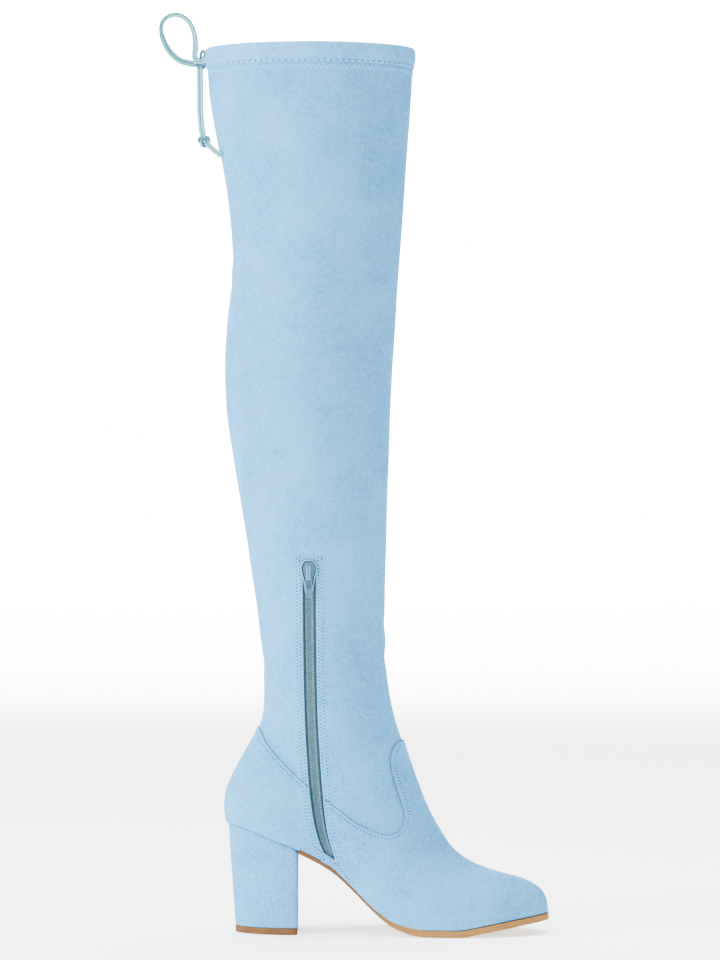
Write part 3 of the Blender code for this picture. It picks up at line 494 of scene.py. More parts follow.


# %% [markdown]
# The suede itself is a pale sky blue.

# %% Suede, lace and thread
NAPPED = {
    # name: dark, middle, light, fibres per metre, depth of the nap in metres, specular level
    "suede": ((0.038, 0.198, 0.412), (0.080, 0.322, 0.600), (0.104, 0.372, 0.660), 760,
              0.0012, 0.05),
    # The collar's suede is a lighter copy of the suede: painted light, for the light on the
    # collar's top.
    "collar_suede_painted_light": ((0.046, 0.222, 0.450), (0.096, 0.360, 0.655), (0.122, 0.410, 0.715), 760,
                     0.0012, 0.05),
    "thread": ((0.080, 0.38, 0.68), (0.105, 0.48, 0.84), (0.115, 0.52, 0.90), 2600, 0.0001, 0.1),
    "raw_edge": ((0.030, 0.120, 0.230), (0.050, 0.170, 0.310), (0.060, 0.190, 0.330), 1500,
                 0.0002, 0.05),
    # Near-black discs for the needle holes: painted shade, for the shade down in each hole.
    "needle_hole_shade": ((0.008, 0.050, 0.105), (0.012, 0.065, 0.130), (0.014, 0.072, 0.140), 1500,
                    0.0001, 0.0),
    "lace_suede": ((0.095, 0.310, 0.385), (0.150, 0.420, 0.500), (0.200, 0.490, 0.570), 1300,
                   0.0003, 0.06),
}
made = {name: napped(name, *row[:5], Specular_IOR_Level=row[5]) for name, row in NAPPED.items()}
suede, collar_suede_painted_light, thread, raw_edge, needle_hole_shade = (made[name][0] for name in list(NAPPED)[:5])
lace_suede, tree, shader = made["lace_suede"]
# The band's two edges and the groove down the middle of each face are darkened: painted shade where
# the band turns into them.
across = node(tree, "SeparateXYZ", Vector=node(tree, "UVMap").outputs[0]).outputs["X"]
folded = math_node(tree, "MULTIPLY", math_node(tree, "PINGPONG", across, 0.25), 4.0)
folded = math_node(tree, "ABSOLUTE", math_node(tree, "SUBTRACT", folded, 0.5), 0.0)
groove_shade = remap(tree, folded, 0.22, 0.40, 0.0, 0.95)
plain = shader.inputs["Base Color"].links[0].from_socket
groove_shaded_colour = blend_colours(tree, groove_shade, plain, (0.016, 0.066, 0.084))
feed(tree, shader.inputs["Base Color"], groove_shaded_colour)
print("napped finishes:", list(NAPPED))

# %% [markdown]
# The other finishes: a knitted lining, the leather of the sole with the long marks that a
# grinder leaves on its edge, rubber for the lift, the zip's woven tape, and enamel on its metal.

# %% Lining, sole, lift and zip
def woven(name, roughness, threads, low, high, strength):
    material, tree, shader = finish(name, roughness, Sheen_Weight=0.2)
    group = use(tree, weave, Threads_per_metre=threads)
    feed(tree, shader.inputs["Base Color"], blend_colours(tree, group.outputs["Thread"], low, high))
    bump(tree, shader, group.outputs["Height"], strength, 0.0002)
    return material


def worn(name, roughness, marks, amount, low, high, strength, distance, rough=None, **sockets):
    """A hard surface with the long marks of wear. rough: roughness between them and in them."""
    material, tree, shader = finish(name, roughness, **sockets)
    group = use(tree, wear, Marks_per_metre=marks, Amount=amount)
    feed(tree, shader.inputs["Base Color"], blend_colours(tree, group.outputs["Mark"], low, high))
    if rough:
        feed(tree, shader.inputs["Roughness"], remap(tree, group.outputs["Mark"], 0, 1, *rough))
    bump(tree, shader, group.outputs["Height"], strength, distance)
    return material, tree, shader


def enamel(name, low, high, roughness, coat):
    return worn(name, roughness, 300.0, 0.35, low, high, 0.1, 0.0001, (roughness, roughness + 0.2),
                Coat_Weight=coat, Coat_Roughness=0.2, Specular_IOR_Level=0.15)[0]


lining = woven("lining", 0.9, 420.0, (0.40, 0.42, 0.44), (0.66, 0.68, 0.69), 0.5)
# The tape's woven tones are darkened almost to black: painted shade, for the deep shade in the
# slot.
zip_fabric = woven("zip_fabric", 0.85, 520.0, (0.010, 0.042, 0.056), (0.034, 0.095, 0.120), 0.7)
lift_rubber = worn("lift_rubber", 0.7, 420.0, 0.7, (0.120, 0.056, 0.022), (0.085, 0.038, 0.015),
                   0.4, 0.0002, Specular_IOR_Level=0.08)[0]
sole_leather, tree, shader = worn("sole_leather", 0.6, 260.0, 0.8, (0.260, 0.128, 0.034),
                                  (0.190, 0.088, 0.022), 0.3, 0.0002, (0.45, 0.7),
                                  Specular_IOR_Level=0.08)
# Darker from the heel's breast to 65 mm, blending back by 105 mm: painted shade under the arch at
# the waist.
along = node(tree, "SeparateXYZ", Vector=node(tree, "TexCoord").outputs["Object"]).outputs["X"]
plain = shader.inputs["Base Color"].links[0].from_socket
waist_shade = blend_colours(tree, remap(tree, along, 0.065, 0.105), (0.105, 0.052, 0.018), plain)
feed(tree, shader.inputs["Base Color"], waist_shade)
zip_teeth = enamel("zip_teeth", (0.105, 0.220, 0.285), (0.045, 0.100, 0.140), 0.45, 0.05)
zip_metal = enamel("zip_metal", (0.032, 0.110, 0.200), (0.022, 0.082, 0.155), 0.45, 0.05)
# A lighter edge finish for the slider's rim, the strap's sides and the tab's bevels: partly
# polished metal, partly a painted highlight where these edges catch the light.
zip_edge_polish_highlight = enamel("zip_edge_polish_highlight", (0.165, 0.330, 0.420), (0.110, 0.245, 0.320), 0.35, 0.1)
# Near-black for the groove inside the slider's rim: painted shade.
zip_recess_shade = enamel("zip_recess_shade", (0.002, 0.020, 0.026), (0.001, 0.013, 0.018), 0.8, 0.0)
print("finishes:", [m.name for m in bpy.data.materials if m.users])

# %% [markdown]
# Suede shows every place where it has been folded or pressed. Such creases are not noise: each
# one sits where the boot bends. They are given one by one as soft troughs and ridges, each a
# line on the form with a depth and a width that fade out with distance.

# %% Creases
def on_side(points, outer=False):
    x, z = np.array(points, float).T * MM
    return form(*side_place(x, z, outer))


def round_front(points):
    """A line over the front or the back, from angles in degrees and heights in millimetres."""
    return np.array([form(at_height(math.radians(a), z * MM), math.radians(a)) for a, z in points])


CREASES = [
    # line, height of the ridge in millimetres (minus for a trough), its width in millimetres
    (on_side([(31, 486), (32, 440), (30, 395), (31, 350), (33, 318)]), 0.9, 13),
    (on_side([(-16, 486), (-4, 484), (12, 481), (30, 479)]), -0.7, 5),
    (on_side([(-18, 477), (-6, 474), (8, 472)]), 0.5, 5),
    (on_side([(8, 622), (24, 611), (40, 599), (52, 590)]), 0.7, 6),
    (on_side([(20, 603), (36, 590), (50, 577)]), -0.7, 9),
    (on_side([(48, 516), (56, 513), (64, 516)]), -0.8, 9),
    (on_side([(40, 392), (46, 380), (47, 366)]), -0.8, 13),
    (on_side([(62, 470), (60, 430), (64, 395)]), -0.5, 12),
    (on_side([(70, 600), (74, 560), (72, 530)]), 0.5, 12),
    (on_side([(4, 560), (2, 530), (-4, 505)]), -0.5, 14),
    (on_side([(56, 262), (60, 240), (66, 222)]), -0.5, 9),
    (on_side([(31, 480), (33, 430), (30, 380), (32, 320)], True), 0.9, 13),
    (on_side([(-14, 492), (4, 484), (26, 480)], True), -0.8, 5),
    (on_side([(-12, 480), (6, 474), (20, 472)], True), 0.5, 5),
    (on_side([(14, 610), (34, 592), (54, 584)], True), -0.7, 9),
    (on_side([(44, 400), (52, 380), (50, 350)], True), -0.7, 12),
    (on_side([(60, 300), (54, 280), (58, 255)], True), -0.6, 10),
    (round_front([(146, 208), (162, 202), (180, 199), (198, 202), (212, 208)]), -0.7, 5),
    (round_front([(150, 219), (165, 214), (180, 212), (196, 214), (210, 221)]), 0.5, 5),
    (round_front([(152, 229), (166, 226), (180, 225), (192, 227)]), -0.5, 5),
    (round_front([(-26, 200), (-10, 196), (8, 196), (24, 201)]), -0.6, 6),
    (round_front([(-22, 492), (-8, 489), (10, 490), (24, 494)]), -0.8, 7),
    (round_front([(-30, 468), (-12, 472), (12, 471), (28, 467)]), -0.5, 7),
]


def line_distance(points, line):
    """Shortest distance from each point to a line of short straight runs."""
    best = np.full(points.shape[:-1], 1e9)
    for start, end in zip(line, line[1:]):
        run = end - start
        share = np.clip(((points - start) @ run) / max(run @ run, 1e-12), 0, 1)
        best = np.minimum(best, np.linalg.norm(points - start - share[..., None] * run, axis=-1))
    return best


def ramp(value, low, high):
    t = np.clip((value - low) / (high - low), 0, 1)
    return t * t * (3 - 2 * t)


print("creases:", len(CREASES))


# %% [markdown]
# The zip runs down the inner side in a slot. Its middle line and the half width of its opening
# are given from the top down, a little wider than in the CAD, as the photograph shows it. The
# edges of the slot are folded in and stitched twice, which leaves a soft raised band on both
# sides, and that band belongs to the form as well.

# %% The zip's line and the soft form
ZIP = np.array(((31.2, 269.0, 4.7), (31.6, 214.0, 4.7), (32.6, 162.4, 4.7), (34.3, 129.7, 4.7),
                (35.9, 108.1, 4.7), (38.4, 86.0, 4.4), (41.9, 69.5, 3.8), (46.5, 57.0, 2.9))) * MM
ZIP_TOP, ZIP_END = ZIP[0, 1], ZIP[-1, 1]
ZIP_ROWS = (1.9 * MM, 4.4 * MM)    # the two rows of stitches, from the slot's edge


def along_zip(column, z):
    return smooth_curve(-ZIP[:, 1], ZIP[:, column], np.clip(-z, -ZIP_TOP, -ZIP_END))


def zip_middle(z):
    x = along_zip(0, z)
    lean = (ZIP[-1, 0] - ZIP[-2, 0]) / (ZIP[-2, 1] - ZIP[-1, 1])
    return x + np.maximum(ZIP_END - z, 0) * lean


def zip_half(z):
    return np.maximum(along_zip(2, z) - 0.2 * np.maximum(ZIP_END - z, 0), 0.0008)


def zip_tilt(z):
    """Cosine of the zip line's lean, to turn a distance along X into one across the zip."""
    slope = (zip_middle(z + 0.001) - zip_middle(z - 0.001)) / 0.002
    return 1 / np.sqrt(1 + slope ** 2)


def from_slot(places):
    """Distance of places on the inner side from the edge of the slot."""
    x, z = places[..., 0], places[..., 2]
    across = np.abs(x - zip_middle(z)) * zip_tilt(z) - zip_half(z)
    above = np.maximum(z - ZIP_TOP, 0)
    below = np.maximum(ZIP_END - z, 0)
    outside = np.hypot(np.maximum(across, 0), above + below)
    return outside + np.minimum(across, 0) * (above + below == 0)


def relief(places, angle):
    """How far the soft surface lies outside the form."""
    height = np.zeros(places.shape[:-1])
    for line, tall, wide in CREASES:
        near = line_distance(places, line) / (wide * MM)
        height += tall * MM * np.exp(-near ** 2)
    turned = np.mod(angle, 2 * math.pi)
    side = (turned > math.pi) & (places[..., 1] < 0)
    gap = np.where(side, from_slot(places), 1.0)
    band = (0.50 * MM * ramp(-gap, -6.4 * MM, -4.8 * MM)
            - 0.35 * MM * ramp(-gap, -0.7 * MM, 0.1 * MM))
    for row in ZIP_ROWS:
        band -= 0.28 * MM * np.exp(-((gap - row) / (0.5 * MM)) ** 2)
    return height + band


def soft(row, angle, out=0.0):
    """Points of the soft surface, moved out by out."""
    places = form(row, angle)
    lift = relief(places, angle) + np.asarray(out, float)
    return places + lift[..., None] * form_normal(row, angle)


print("zip from", ZIP_TOP, "down to", ZIP_END)

# %% [markdown]
# A grid wraps round the form. Its columns are even all round, except beside the zip, where
# they crowd up and follow the slot's two edges, so that the slot is left out by deleting
# faces and needs no cutting.

# %% Columns that follow the zip
# distances of the columns from the slot's edge, and how many runs span the slot itself
BESIDE = np.array((0, 0.35, 0.8, 1.35, 1.9, 2.45, 3.1, 3.8, 4.4, 5.0, 5.8, 6.8, 8.2, 10.0)) * MM
INSIDE = 4


def slot_angles(rows):
    """Angles of the slot's front and rear edge on each row."""
    angles = np.linspace(math.pi + 0.02, 2 * math.pi - 0.02, 900)
    front, rear = [], []
    for row in rows:
        places = form(row, angles)
        x, z = places[:, 0], places[:, 2]
        offset = (x - zip_middle(z)) * zip_tilt(z)
        front.append(np.interp(0, (zip_half(z) - offset)[200:-100], angles[200:-100]))
        rear.append(np.interp(0, (-zip_half(z) - offset)[200:-100], angles[200:-100]))
    return np.array(front), np.array(rear)


def wrapped_columns(rows, around):
    """Angles of every column on each row: round the front, the slot, then the back."""
    front, rear = slot_angles(rows)
    speed = np.linalg.norm(form(rows, front + 0.01) - form(rows, front - 0.01), axis=1) / 0.02
    beside = BESIDE[None, :] / speed[:, None]
    before = front[:, None] - beside[:, ::-1]
    inside = front[:, None] + (rear - front)[:, None] * np.arange(1, INSIDE)[None, :] / INSIDE
    after = rear[:, None] + beside
    share = np.arange(1, around)[None, :] / around
    rest = after[:, -1:] + (before[:, :1] + 2 * math.pi - after[:, -1:]) * share
    angles = np.concatenate((before, inside, after, rest), axis=1)
    first = len(BESIDE) - 1
    return angles, range(first, first + INSIDE)


tip_row = float(side_place(ZIP[-1, 0], ZIP_END)[0])
top_row = float(side_place(ZIP[0, 0], ZIP_TOP)[0])
print("slot between rows", round(tip_row, 2), "and", round(top_row, 2))


def upper_rows(low, high, per_foot, per_shaft):
    """Rows of a grid between two rows of the form, with the slot's ends among them."""
    ankle = len(FOOT) - 1
    rows = np.concatenate((np.linspace(0, ankle, ankle * per_foot + 1),
                           np.linspace(ankle, TOP, (TOP - ankle) * per_shaft + 1)[1:]))
    beside_top = top_row + np.array((-0.06, -0.03, 0, 0.02, 0.05, 0.08, 0.12, 0.16, 0.20, 0.25))
    beside_tip = tip_row + np.array((-0.2, 0, 0.1))
    special = np.concatenate((beside_top, beside_tip))
    rows = rows[np.min(np.abs(rows[:, None] - special[None, :]), axis=1) > 0.02]
    rows = np.sort(np.concatenate((rows, special)))
    rows = rows[(rows > low) & (rows < high)]
    return np.concatenate(((low,), rows, (high,)))


def suede_skin(name, low, high, per_foot, per_shaft, around, out):
    rows = upper_rows(low, high, per_foot, per_shaft)
    angles, slot_columns = wrapped_columns(rows, around)
    points = soft(np.repeat(rows[:, None], angles.shape[1], axis=1), angles, out)
    slot = {k * angles.shape[1] + column for k in range(len(rows) - 1) for column in slot_columns
            if rows[k] >= tip_row - 1e-6 and rows[k + 1] <= top_row + 1e-6}
    item = laid_grid(name, points, round_it=True, skip=slot)
    print(name, "rows", len(rows), "columns", angles.shape[1])
    return item

# %% [markdown]
# The upper itself: one skin over the whole form, with a real wall. Solidify gives the wall and
# hands the inner faces the second material, the lining.

# %% Upper
def give_wall(item, thickness, inner_material=None):
    wall = item.modifiers.new("wall", "SOLIDIFY")
    wall.thickness = thickness
    wall.offset = -1.0
    wall.use_even_offset = False
    if inner_material:
        item.data.materials.append(inner_material)
        wall.material_offset = 1
    apply_all(item)


upper = suede_skin("upper_suede", 0, TOP, 6, 8, 112, 0.0)
upper.data.materials.append(suede)
give_wall(upper, WALL, lining)
smooth(upper, 50)
settle(upper, suede)
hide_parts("upper")
print("upper faces:", len(upper.data.polygons))

# %% [markdown]
# Vamp and counter are second layers, 1 mm of suede sewn on top. Each is the same kind of skin,
# a little further out, cut to its outline in side view as with a pastry cutter: a flat shape
# drawn out sideways, and a Boolean that keeps what lies inside.

# %% Vamp and counter
SEAM_MEET = 102.7         # height in millimetres at which both seams reach the zip
PANEL_OUT = 1.3 * MM      # outer face of both panels above the upper's
COUNTER_SEAM = ((25.8, 111.3), (16.4, 120.1), (7.5, 128.8), (-0.5, 138.5), (-4.6, 145.9),
                (-9.5, 152.6), (-20.0, 164.0))
VAMP_SEAM = ((43.9, 96.9), (51.8, 91.4), (62.7, 82.8), (73.5, 76.8), (85.0, 73.0), (92.3, 73.0),
             (98.1, 77.9), (99.8, 87.1), (97.0, 98.0), (93.0, 110.2), (90.3, 121.1),
             (90.4, 129.7), (93.1, 135.7), (98.4, 139.1), (119.9, 143.0))


def smooth_route(points, steps):
    """Points of a smooth line that passes through the given ones."""
    points = np.asarray(points, float)
    padded = np.vstack((2 * points[0] - points[1], points, 2 * points[-1] - points[-2]))
    place = np.linspace(0, len(points) - 1, steps)
    index = np.minimum(place.astype(int), len(points) - 2)
    u = (place - index)[:, None]
    a, b, c, d = (padded[index + k] for k in range(4))
    return 0.5 * (2 * b + (c - a) * u + (2 * a - 5 * b + 4 * c - d) * u ** 2
                  + (3 * b - a - 3 * c + d) * u ** 3)


def seam_line(seam, shift):
    start = (float(zip_middle(SEAM_MEET * MM)) + shift, SEAM_MEET * MM)
    return smooth_route([start, *(np.array(seam) * MM)], 90)


def cut_panel(name, seam, corners, shift):
    skin = suede_skin(name, 0.08, at_height(0.0, 0.19), 8, 8, 150, PANEL_OUT)
    skin.data.materials.append(suede)
    give_wall(skin, 1 * MM)
    line = seam_line(seam, shift)
    down = np.linspace(-20 * MM, SEAM_MEET * MM, 40)[:-1]
    edge = np.column_stack((zip_middle(down) + shift, down))
    outline = np.vstack((line, np.array(corners) * MM, edge))
    mould = flat_body("mould", outline, -0.1, 0.1)
    mould.data.materials.append(raw_edge)
    cut = skin.modifiers.new("cut", "BOOLEAN")
    cut.operation, cut.solver, cut.object = "INTERSECT", "EXACT", mould
    cut.material_mode = "TRANSFER"
    apply_all(skin)
    bpy.data.objects.remove(mould)
    smooth(skin, 50)
    settle(skin, suede)
    print(name, "faces:", len(skin.data.polygons))
    return skin


SEAM_GAP = 0.15 * MM    # from the zip's middle line to each panel's edge below the slot
vamp = cut_panel("vamp_suede", VAMP_SEAM, ((227.7, 143.0), (227.7, -20.0)), SEAM_GAP)
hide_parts("vamp_panel")
counter = cut_panel("counter_suede", COUNTER_SEAM, ((-53.5, 171.2), (-53.5, -20.0)), -SEAM_GAP)
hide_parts("counter_panel")

# %% [markdown]
# The collar is a tunnel: a strip of suede folded over the rim and stitched through 14 mm below,
# with the lace inside, so it is a little fuller halfway. One outline of its cross section is
# swept round the rim. It stays open at the back, where the lace comes out. Its suede is a shade
# lighter than the shaft's: painted light, for the light that falls on the collar's top.

# %% Collar with the lace's tunnel
COLLAR = np.array((
    # millimetres below the rim, millimetres out from the form
    (14.1, 0.35), (13.7, 0.85), (13.0, 1.05), (12.2, 0.6), (11.5, 0.85), (10.4, 1.15), (8.8, 1.45),
    (6.8, 1.6), (4.6, 1.5), (2.6, 1.3), (1.0, 1.0), (-0.1, 0.6), (-0.6, -0.1), (-0.65, -1.0),
    (-0.3, -1.9), (0.6, -2.3), (3.0, -2.4), (8.0, -2.4), (12.5, -2.35), (13.8, -2.2), (14.1, -1.9),
    (13.8, -1.7), (6.0, -1.68), (0.5, -1.68), (-0.15, -1.4), (-0.15, -0.4), (0.5, 0.1),
    (7.0, 0.15), (13.9, 0.15),
)) * MM
MOUTH, RIM_HALF = 5 * MM, 0.0528    # half of the opening at the back, half width of the rim


def on_rim(angle, below, out):
    """Places near the rim, from the angle, the depth below it and the distance outwards."""
    row = TOP - np.clip(below, 0, None) / TOP_STEP
    places = form(row, angle)
    lift = np.where(out > 0, relief(places, angle), 0) + out
    normal = form_normal(np.minimum(row, TOP - 0.05), angle)
    places = places + lift[..., None] * normal
    places[..., 2] += np.clip(-below, 0, None)
    return places


half_mouth = MOUTH / RIM_HALF    # as an angle
angles = half_mouth + (2 * math.pi - 2 * half_mouth) * np.linspace(0, 1, 261)
collar = laid_grid("collar_tunnel", on_rim(angles[:, None], *COLLAR.T[:, None, :]), round_it=True)
bpy.ops.object.mode_set(mode="EDIT")
close_holes("EDGE")
face_outwards()
# The lighter collar suede is painted light, where the collar's top faces the light.
collar.data.materials.append(collar_suede_painted_light)
smooth(collar, 50)
settle(collar, suede)
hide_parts("collar_casing")
print("collar faces:", len(collar.data.polygons))

# %% [markdown]
# The zip is three things that are easy to tell apart: a woven tape behind the slot, two rows of
# teeth that meet in the middle, and the slider. Tape and teeth follow the zip's line on the
# form, so each of their points is found from its place in the side view.

# %% Zip tape
def beside_zip(z, across, out):
    """Points beside the zip's middle line: across to the front, out from the form."""
    z, across, out = np.broadcast_arrays(np.asarray(z, float), np.asarray(across, float),
                                         np.asarray(out, float))
    tilt = zip_tilt(z)
    slope = np.sqrt(np.maximum(1 / tilt ** 2 - 1, 0))
    row, angle = side_place(zip_middle(z) + across * tilt, z + across * tilt * slope)
    return form(row, angle) + out[..., None] * form_normal(row, angle)


TAPE = np.array(((-9.8, 0), (-6, 0), (-4.2, 0), (-3.3, 0.1), (-2.7, 0.5), (-2.0, 0.6), (-1.2, 0.2),
                 (0, 0), (1.2, 0.2), (2.0, 0.6), (2.7, 0.5), (3.3, 0.1), (4.2, 0), (6, 0),
                 (9.8, 0))) * MM
down = np.linspace(ZIP_TOP + 3.5 * MM, ZIP_END + 1 * MM, 110)
narrow = np.clip(zip_half(down) / (4.3 * MM), 0, 1)
tape = laid_grid("zip_tape_woven", beside_zip(down[:, None], TAPE[:, 0] * narrow[:, None],
                                              TAPE[:, 1] - 2.15 * MM))
give_wall(tape, 0.4 * MM)
smooth(tape)
settle(tape, zip_fabric)
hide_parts("zip_tape")
print("tape from", round(float(down[0]), 4), "to", round(float(down[-1]), 4))

# %% [markdown]
# One tooth is modelled: a cube with all its edges bevelled. The two rows are copies of it, half
# a step apart, so that they mesh, and narrow ones in the middle stand for their hooks. More
# than a hundred copies are joined into one piece, which is why each has only a few faces.

# %% Zip teeth
def copies_along(name, model, places, ways):
    """One mesh from a model's copies: places, and three directions for the model's X, Y and Z."""
    points = np.array([v.co[:] for v in model.data.vertices])
    faces = [tuple(p.vertices) for p in model.data.polygons]
    moved = places[:, None, :] + np.einsum("vk,nkc->nvc", points, ways)
    count = len(points)
    mesh = bpy.data.meshes.new(name)
    faces = [tuple(v + k * count for v in face) for k in range(len(places)) for face in faces]
    mesh.from_pydata(moved.reshape(-1, 3).tolist(), [], faces)
    item = bpy.data.objects.new(name, mesh)
    bpy.context.scene.collection.objects.link(item)
    bpy.data.objects.remove(model)
    return item


def frames_along(path, normals):
    """Directions along, across and out for each point of a line on a surface."""
    along = unit(np.gradient(path, axis=0))
    out = unit(normals - (normals * along).sum(axis=1, keepdims=True) * along)
    return np.stack((along, np.cross(out, along), out), axis=1)


def run_of(line):
    """How far along a line each of its points is."""
    return np.concatenate(([0], np.cumsum(np.linalg.norm(np.diff(line, axis=0), axis=1))))


def points_at(at, run, line):
    return np.stack([np.interp(at, run, line[:, k]) for k in range(3)], axis=1)


def tooth(wide):
    deselect()
    bpy.ops.mesh.primitive_cube_add(size=1)
    item = bpy.context.object
    item.scale = (0.66 * MM, wide, 1.3 * MM)
    bpy.ops.object.transform_apply(scale=True)
    bpy.ops.object.mode_set(mode="EDIT")
    bpy.ops.mesh.select_all(action="SELECT")
    bpy.ops.mesh.bevel(offset=0.18 * MM, segments=1, affect="EDGES")
    bpy.ops.object.mode_set(mode="OBJECT")
    return item


PITCH = 1.35 * MM
teeth_z = np.linspace(ZIP_TOP - 1 * MM, ZIP_END - 0.5 * MM, 900)


def row_of_teeth(name, across, depth, facing, first, wide):
    """Teeth at their pitch beside the zip's middle. facing: the place that they point to."""
    line = beside_zip(teeth_z, across, depth)
    run = run_of(line)
    at = np.arange(first, run[-1], PITCH)
    spots = points_at(at, run, line)
    outward = beside_zip(np.interp(at, run, teeth_z), facing, 0.05 * MM) - spots
    teeth = copies_along(name, tooth(wide), spots, frames_along(spots, outward))
    print(name, len(spots))
    return teeth


for side_name, sign in (("front", 1), ("rear", -1)):
    reach = sign * 1.95 * MM * np.clip(zip_half(teeth_z) / (4.4 * MM), 0.5, 1)
    teeth = row_of_teeth("zip_teeth_" + side_name, reach, -0.95 * MM, sign * 1.28 * MM,
                         0 if sign > 0 else PITCH / 2, 2.3 * MM)
    smooth(teeth, 30)
    settle(teeth, zip_teeth)
    if sign > 0:
        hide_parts("zip_chain")
hooks = row_of_teeth("zip_teeth_hooked", 0.0, -1.15 * MM, 1.28 * MM, PITCH / 4, 1.0 * MM)
settle(hooks, zip_teeth)

# %% [markdown]
# The slider is a shield-shaped cap with a raised rim, a groove inside it, and a strap over it.
# Its outline is drawn once, and rings of it, drawn in by a little more at each height, give the
# pillowed edge of a cast and enamelled part. It is built at the origin and then set on the zip.

# %% Slider
HINGE = Vector((0.030939, -0.042006, 0.259266))
ACROSS = Vector((-0.994278, 0.106820, 0.0))
OUT = Vector((-0.1062996, -0.9894323, -0.0986109))
UP = Vector((-0.0105336, -0.0980466, 0.9951261))
ON_ZIP = Matrix(((ACROSS.x, OUT.x, UP.x, HINGE.x), (ACROSS.y, OUT.y, UP.y, HINGE.y),
                 (ACROSS.z, OUT.z, UP.z, HINGE.z), (0, 0, 0, 1)))


def rounded(points, steps):
    """A closed smooth outline through the given points."""
    points = np.asarray(points, float)
    ring = smooth_route(np.vstack((points[-2:], points, points[:3])), steps * (len(points) + 4) + 1)
    return ring[2 * steps:-2 * steps - 1]


def pillow(name, outline, levels):
    """A body from one outline in X and Z: levels are how far it is drawn in, and its Y."""
    middle = outline.mean(axis=0)
    turn = np.roll(outline, -1, axis=0) - np.roll(outline, 1, axis=0)
    normal = unit(np.column_stack((turn[:, 1], -turn[:, 0])))
    normal *= np.sign(((outline - middle) * normal).sum(axis=1).mean())
    rings = []
    for inset, height in levels:
        ring = outline - inset * normal
        rings.append(np.column_stack((ring[:, 0], np.full(len(ring), height), ring[:, 1])))
    return laid_grid(name, np.array(rings), round_it=True, capped=True)


def paint(item, material, chosen):
    """A second material for the faces whose middle and normal are chosen."""
    item.data.materials.append(material)
    for face in item.data.polygons:
        if chosen(face.center / MM, face.normal):
            face.material_index = len(item.data.materials) - 1


def onto_zip(item):
    only(item)
    item.matrix_world = ON_ZIP
    bpy.ops.object.transform_apply(location=True, rotation=True, scale=True)
    return item


def merge_into(target, *others):
    deselect()
    for item in (target, *others):
        item.select_set(True)
    bpy.context.view_layer.objects.active = target
    bpy.ops.object.join()
    return target


# half of the cap's outline: x, z. Then its rings: how far drawn in, height
half_outline = np.array(((2.4, -11.8), (3.0, -9.8), (3.6, -6.4), (4.4, -2.0), (5.5, 2.4),
                         (6.0, 6.4), (5.0, 9.3), (3.3, 11.4), (1.3, 11.9)))
shield = rounded(np.vstack((half_outline, half_outline[::-1] * (-1, 1))) * MM, 4)
plate = pillow("zip_slider_cap", shield, np.array((
    (0.5, -2.8), (0.12, -2.65), (0.0, -2.3), (0.0, -1.7), (0.08, -1.35), (0.3, -1.12),
    (0.55, -1.05), (0.8, -1.15), (0.95, -1.7), (1.25, -2.0), (1.45, -1.75), (1.6, -1.62),
    (2.1, -1.6))) * MM)
plate.data.materials.append(zip_metal)
# The rim's top takes the lighter edge finish: polished metal and painted highlight.
paint(plate, zip_edge_polish_highlight, lambda middle, normal: middle.y > -1.25)
# The groove inside the rim is painted near-black: painted shade.
paint(plate, zip_recess_shade, lambda middle, normal: -2.1 < middle.y < -1.3
      and not (normal.y > 0.9 and middle.y > -1.65))
arch = np.array(((0, -1.2, 8.1), (0, 0.4, 8.1), (0, 1.35, 7.4), (0, 1.62, 4.5), (0, 1.66, 2.0),
                 (0, 1.62, 0.0), (0, 1.3, -1.6), (0, 0.3, -2.15), (0, -1.2, -2.15))) * MM
arch_path = smooth_route(arch, 40)
arch_out = np.cross(unit(np.gradient(arch_path, axis=0)), (1.0, 0, 0))
STRAP = rounded(np.array((
    (1.5, -0.25), (1.5, 0.15), (1.3, 0.42), (0.95, 0.25), (-0.95, 0.25), (-1.3, 0.42),
    (-1.5, 0.15), (-1.5, -0.25), (-0.9, -0.42), (0.9, -0.42))) * MM, 2)
strap = laid_grid("zip_slider_strap", arch_path[:, None, :] + STRAP[:, :1] * (1.0, 0, 0)
                  + STRAP[:, 1:] * arch_out[:, None, :], round_it=True, capped=True)
strap.data.materials.append(zip_metal)
# The strap's sides take the lighter edge finish: polished metal and painted highlight.
paint(strap, zip_edge_polish_highlight, lambda middle, normal: 1.0 < abs(middle.x) < 1.4)
slider = onto_zip(merge_into(plate, strap))
smooth(slider, 35)
settle(slider, zip_metal)
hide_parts("zip_slider")
print("slider faces:", len(slider.data.polygons))

# %% [markdown]
# The pull tab hangs from the strap by its eye. It is a flat outline, drawn out to 1 mm, with the
# eye cut through, a shallow dish pressed into its lower half, and all its edges bevelled.

# %% Pull tab
tab = flat_body("zip_pull_tab", rounded(np.array((
    (2.0, 0.5), (2.55, 0.0), (2.5, -3.0), (2.25, -9.0), (1.95, -13.6), (1.3, -15.0), (-1.3, -15.0),
    (-1.95, -13.6), (-2.25, -9.0), (-2.5, -3.0), (-2.55, 0.0), (-2.0, 0.5))) * MM, 4),
                -0.5 * MM, 0.5 * MM)
eye = flat_body("eye", rounded(np.array((
    (1.6, -0.5), (1.72, -1.2), (1.72, -7.2), (1.2, -8.6), (-1.2, -8.6), (-1.72, -7.2),
    (-1.72, -1.2), (-1.6, -0.5))) * MM, 3), -2 * MM, 2 * MM)
dish = flat_body("dish", rounded(np.array((
    (0.9, -11.2), (1.0, -12.8), (0.6, -13.8), (-0.6, -13.8), (-1.0, -12.8),
    (-0.9, -11.2))) * MM, 3), 0.05 * MM, 2 * MM)
for tool in (eye, dish):
    hole = tab.modifiers.new("hole", "BOOLEAN")
    hole.operation, hole.solver, hole.object = "DIFFERENCE", "EXACT", tool
soften = tab.modifiers.new("soften", "BEVEL")
